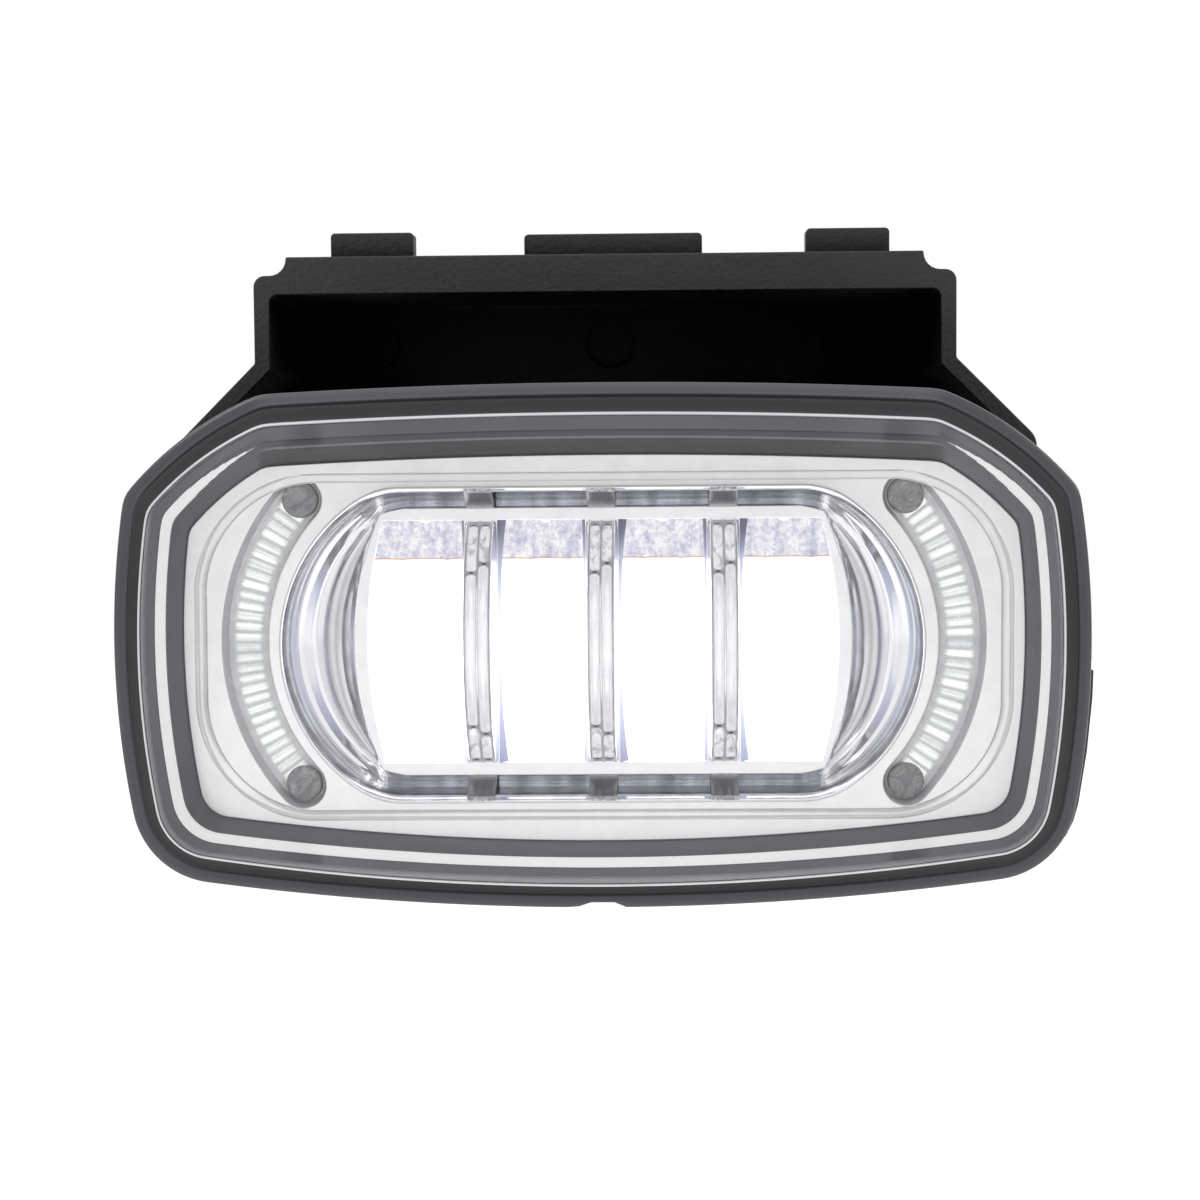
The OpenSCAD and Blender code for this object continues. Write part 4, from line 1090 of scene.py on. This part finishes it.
def modify(node, name, kind, **settings):
    """Adds a modifier with its settings."""
    modifier = node.modifiers.new(name, kind)
    for key, value in settings.items():
        setattr(modifier, key, value)


def finish_node(name, node):
    """Gives a CAD node its material and rounded edges. Its mesh stays as it is."""
    node.data.materials.clear()
    node.data.materials.append(M[FINISH[name]])
    modify(node, "weld", "WELD", merge_threshold=0.00001)
    modify(node, "flats", "DECIMATE", decimate_type="DISSOLVE", angle_limit=math.radians(0.5))
    modify(node, "edges", "BEVEL", width=ROUNDED.get(name, USUAL_ROUNDING) / 1000, segments=2,
           limit_method="ANGLE", angle_limit=math.radians(40), use_clamp_overlap=False, harden_normals=True)
    modify(node, "normals", "WEIGHTED_NORMAL", weight=100, keep_sharp=True)
    node.data.shade_smooth()
    node.data.set_sharp_from_angle(angle=math.radians(30))


for name, node in frame["nodes"].items():
    if name not in REPLACED:
        finish_node(name, node)


# ---- Studio -------------------------------------------------------------------
def lay_floor(half=6.0, z=-0.6):
    """Plain pale floor, in metres."""
    corners = [(-half, -half, z), (half, -half, z), (half, half, z), (-half, half, z)]
    mesh = bpy.data.meshes.new("floor")
    mesh.from_pydata(corners, [], [(0, 1, 2, 3)])
    floor = show("floor", mesh)
    p = Paint("floor", Roughness=0.8, Emission_Color=WHITE, Emission_Strength=0.35)
    p.set(Base_Color=p.ramp(p.noise(3, 2), [(0.3, 0.93), (0.7, 0.96)]))
    mesh.materials.append(p.mat)


# Brightness of the room from beside the lamp (0) round to straight in front of it (1). Behind the
# lamp it is as bright as beside it.
ROOM = [(0.0, 1.0), (0.20, 0.95), (0.32, 0.50), (0.42, 0.20), (0.52, 0.30), (0.62, 0.75), (0.74, 0.95),
        (1.0, 0.93)]


def light_room():
    """Soft bands of light all round for the reflections, and plain white behind the object."""
    world = bpy.data.worlds.new("studio")
    bpy.context.scene.world = world
    world.use_nodes = True
    tree = world.node_tree
    back = tree.nodes["Background"]
    direction = tree.nodes.new("ShaderNodeTexCoord")
    split = tree.nodes.new("ShaderNodeSeparateXYZ")
    tree.links.new(direction.outputs["Generated"], split.inputs[0])
    front = tree.nodes.new("ShaderNodeMath")
    front.operation = "MULTIPLY"
    front.inputs[1].default_value = -1.0
    tree.links.new(split.outputs["Y"], front.inputs[0])
    bands = tree.nodes.new("ShaderNodeValToRGB")
    bands.color_ramp.interpolation = "EASE"
    fill_ramp(bands.color_ramp, [(at, (level, level, level * 1.01)) for at, level in ROOM])
    tree.links.new(front.outputs[0], bands.inputs["Fac"])
    seen = tree.nodes.new("ShaderNodeLightPath")
    white = tree.nodes.new("ShaderNodeMix")
    white.data_type = "RGBA"
    tree.links.new(seen.outputs["Is Camera Ray"], white.inputs["Factor"])
    tree.links.new(bands.outputs["Color"], white.inputs[6])
    white.inputs[7].default_value = WHITE
    tree.links.new(white.outputs[2], back.inputs["Color"])
    back.inputs["Strength"].default_value = 1.0


def soft_box(name, at, size, watts):
    """Rectangular light aimed at the lamp, in metres."""
    light = bpy.data.lights.new(name, "AREA")
    light.shape = "RECTANGLE"
    light.size, light.size_y = size
    light.energy = watts
    box = show(name, light)
    box.location = at
    box.rotation_euler = (Vector(ORIGIN) - Vector(at)).to_track_quat("-Z", "Y").to_euler()


lay_floor()
light_room()
soft_box("key", (-0.9, -1.1, 1.1), (0.8, 0.8), 9)
soft_box("rim", (1.2, -0.5, 0.7), (0.5, 0.9), 6)


# ---- Camera at the angle of the reference ----------------------------------------
def aimed(turn, height):
    """Unit vector from in front of the lamp toward it, turned by one angle and lowered by another."""
    return Vector((-math.sin(turn) * math.cos(height), math.cos(turn) * math.cos(height), -math.sin(height)))


def set_camera(yaw=1.57, pitch=3.79, roll=0.5, climb=4.88, distance=0.52):
    """Stands at the distance in metres and climb in degrees from the lens's middle, and looks along
    yaw and pitch."""
    data = bpy.data.cameras.new("camera")
    data.sensor_width, data.lens = 36.0, 76.22
    data.clip_start, data.clip_end = 0.01, 50
    camera = show("camera", data)
    yaw, pitch, roll, climb = (math.radians(angle) for angle in (yaw, pitch, roll, climb))
    camera.location = Vector(place([0, 0, 0])[0]) - distance * aimed(yaw, climb)
    upright = aimed(yaw, pitch).to_track_quat("-Z", "Y").to_matrix()
    camera.rotation_euler = (upright @ Matrix.Rotation(-roll, 3, "Z")).to_euler()
    bpy.context.scene.camera = camera


set_camera()
bpy.context.scene.view_settings.view_transform = "Standard"
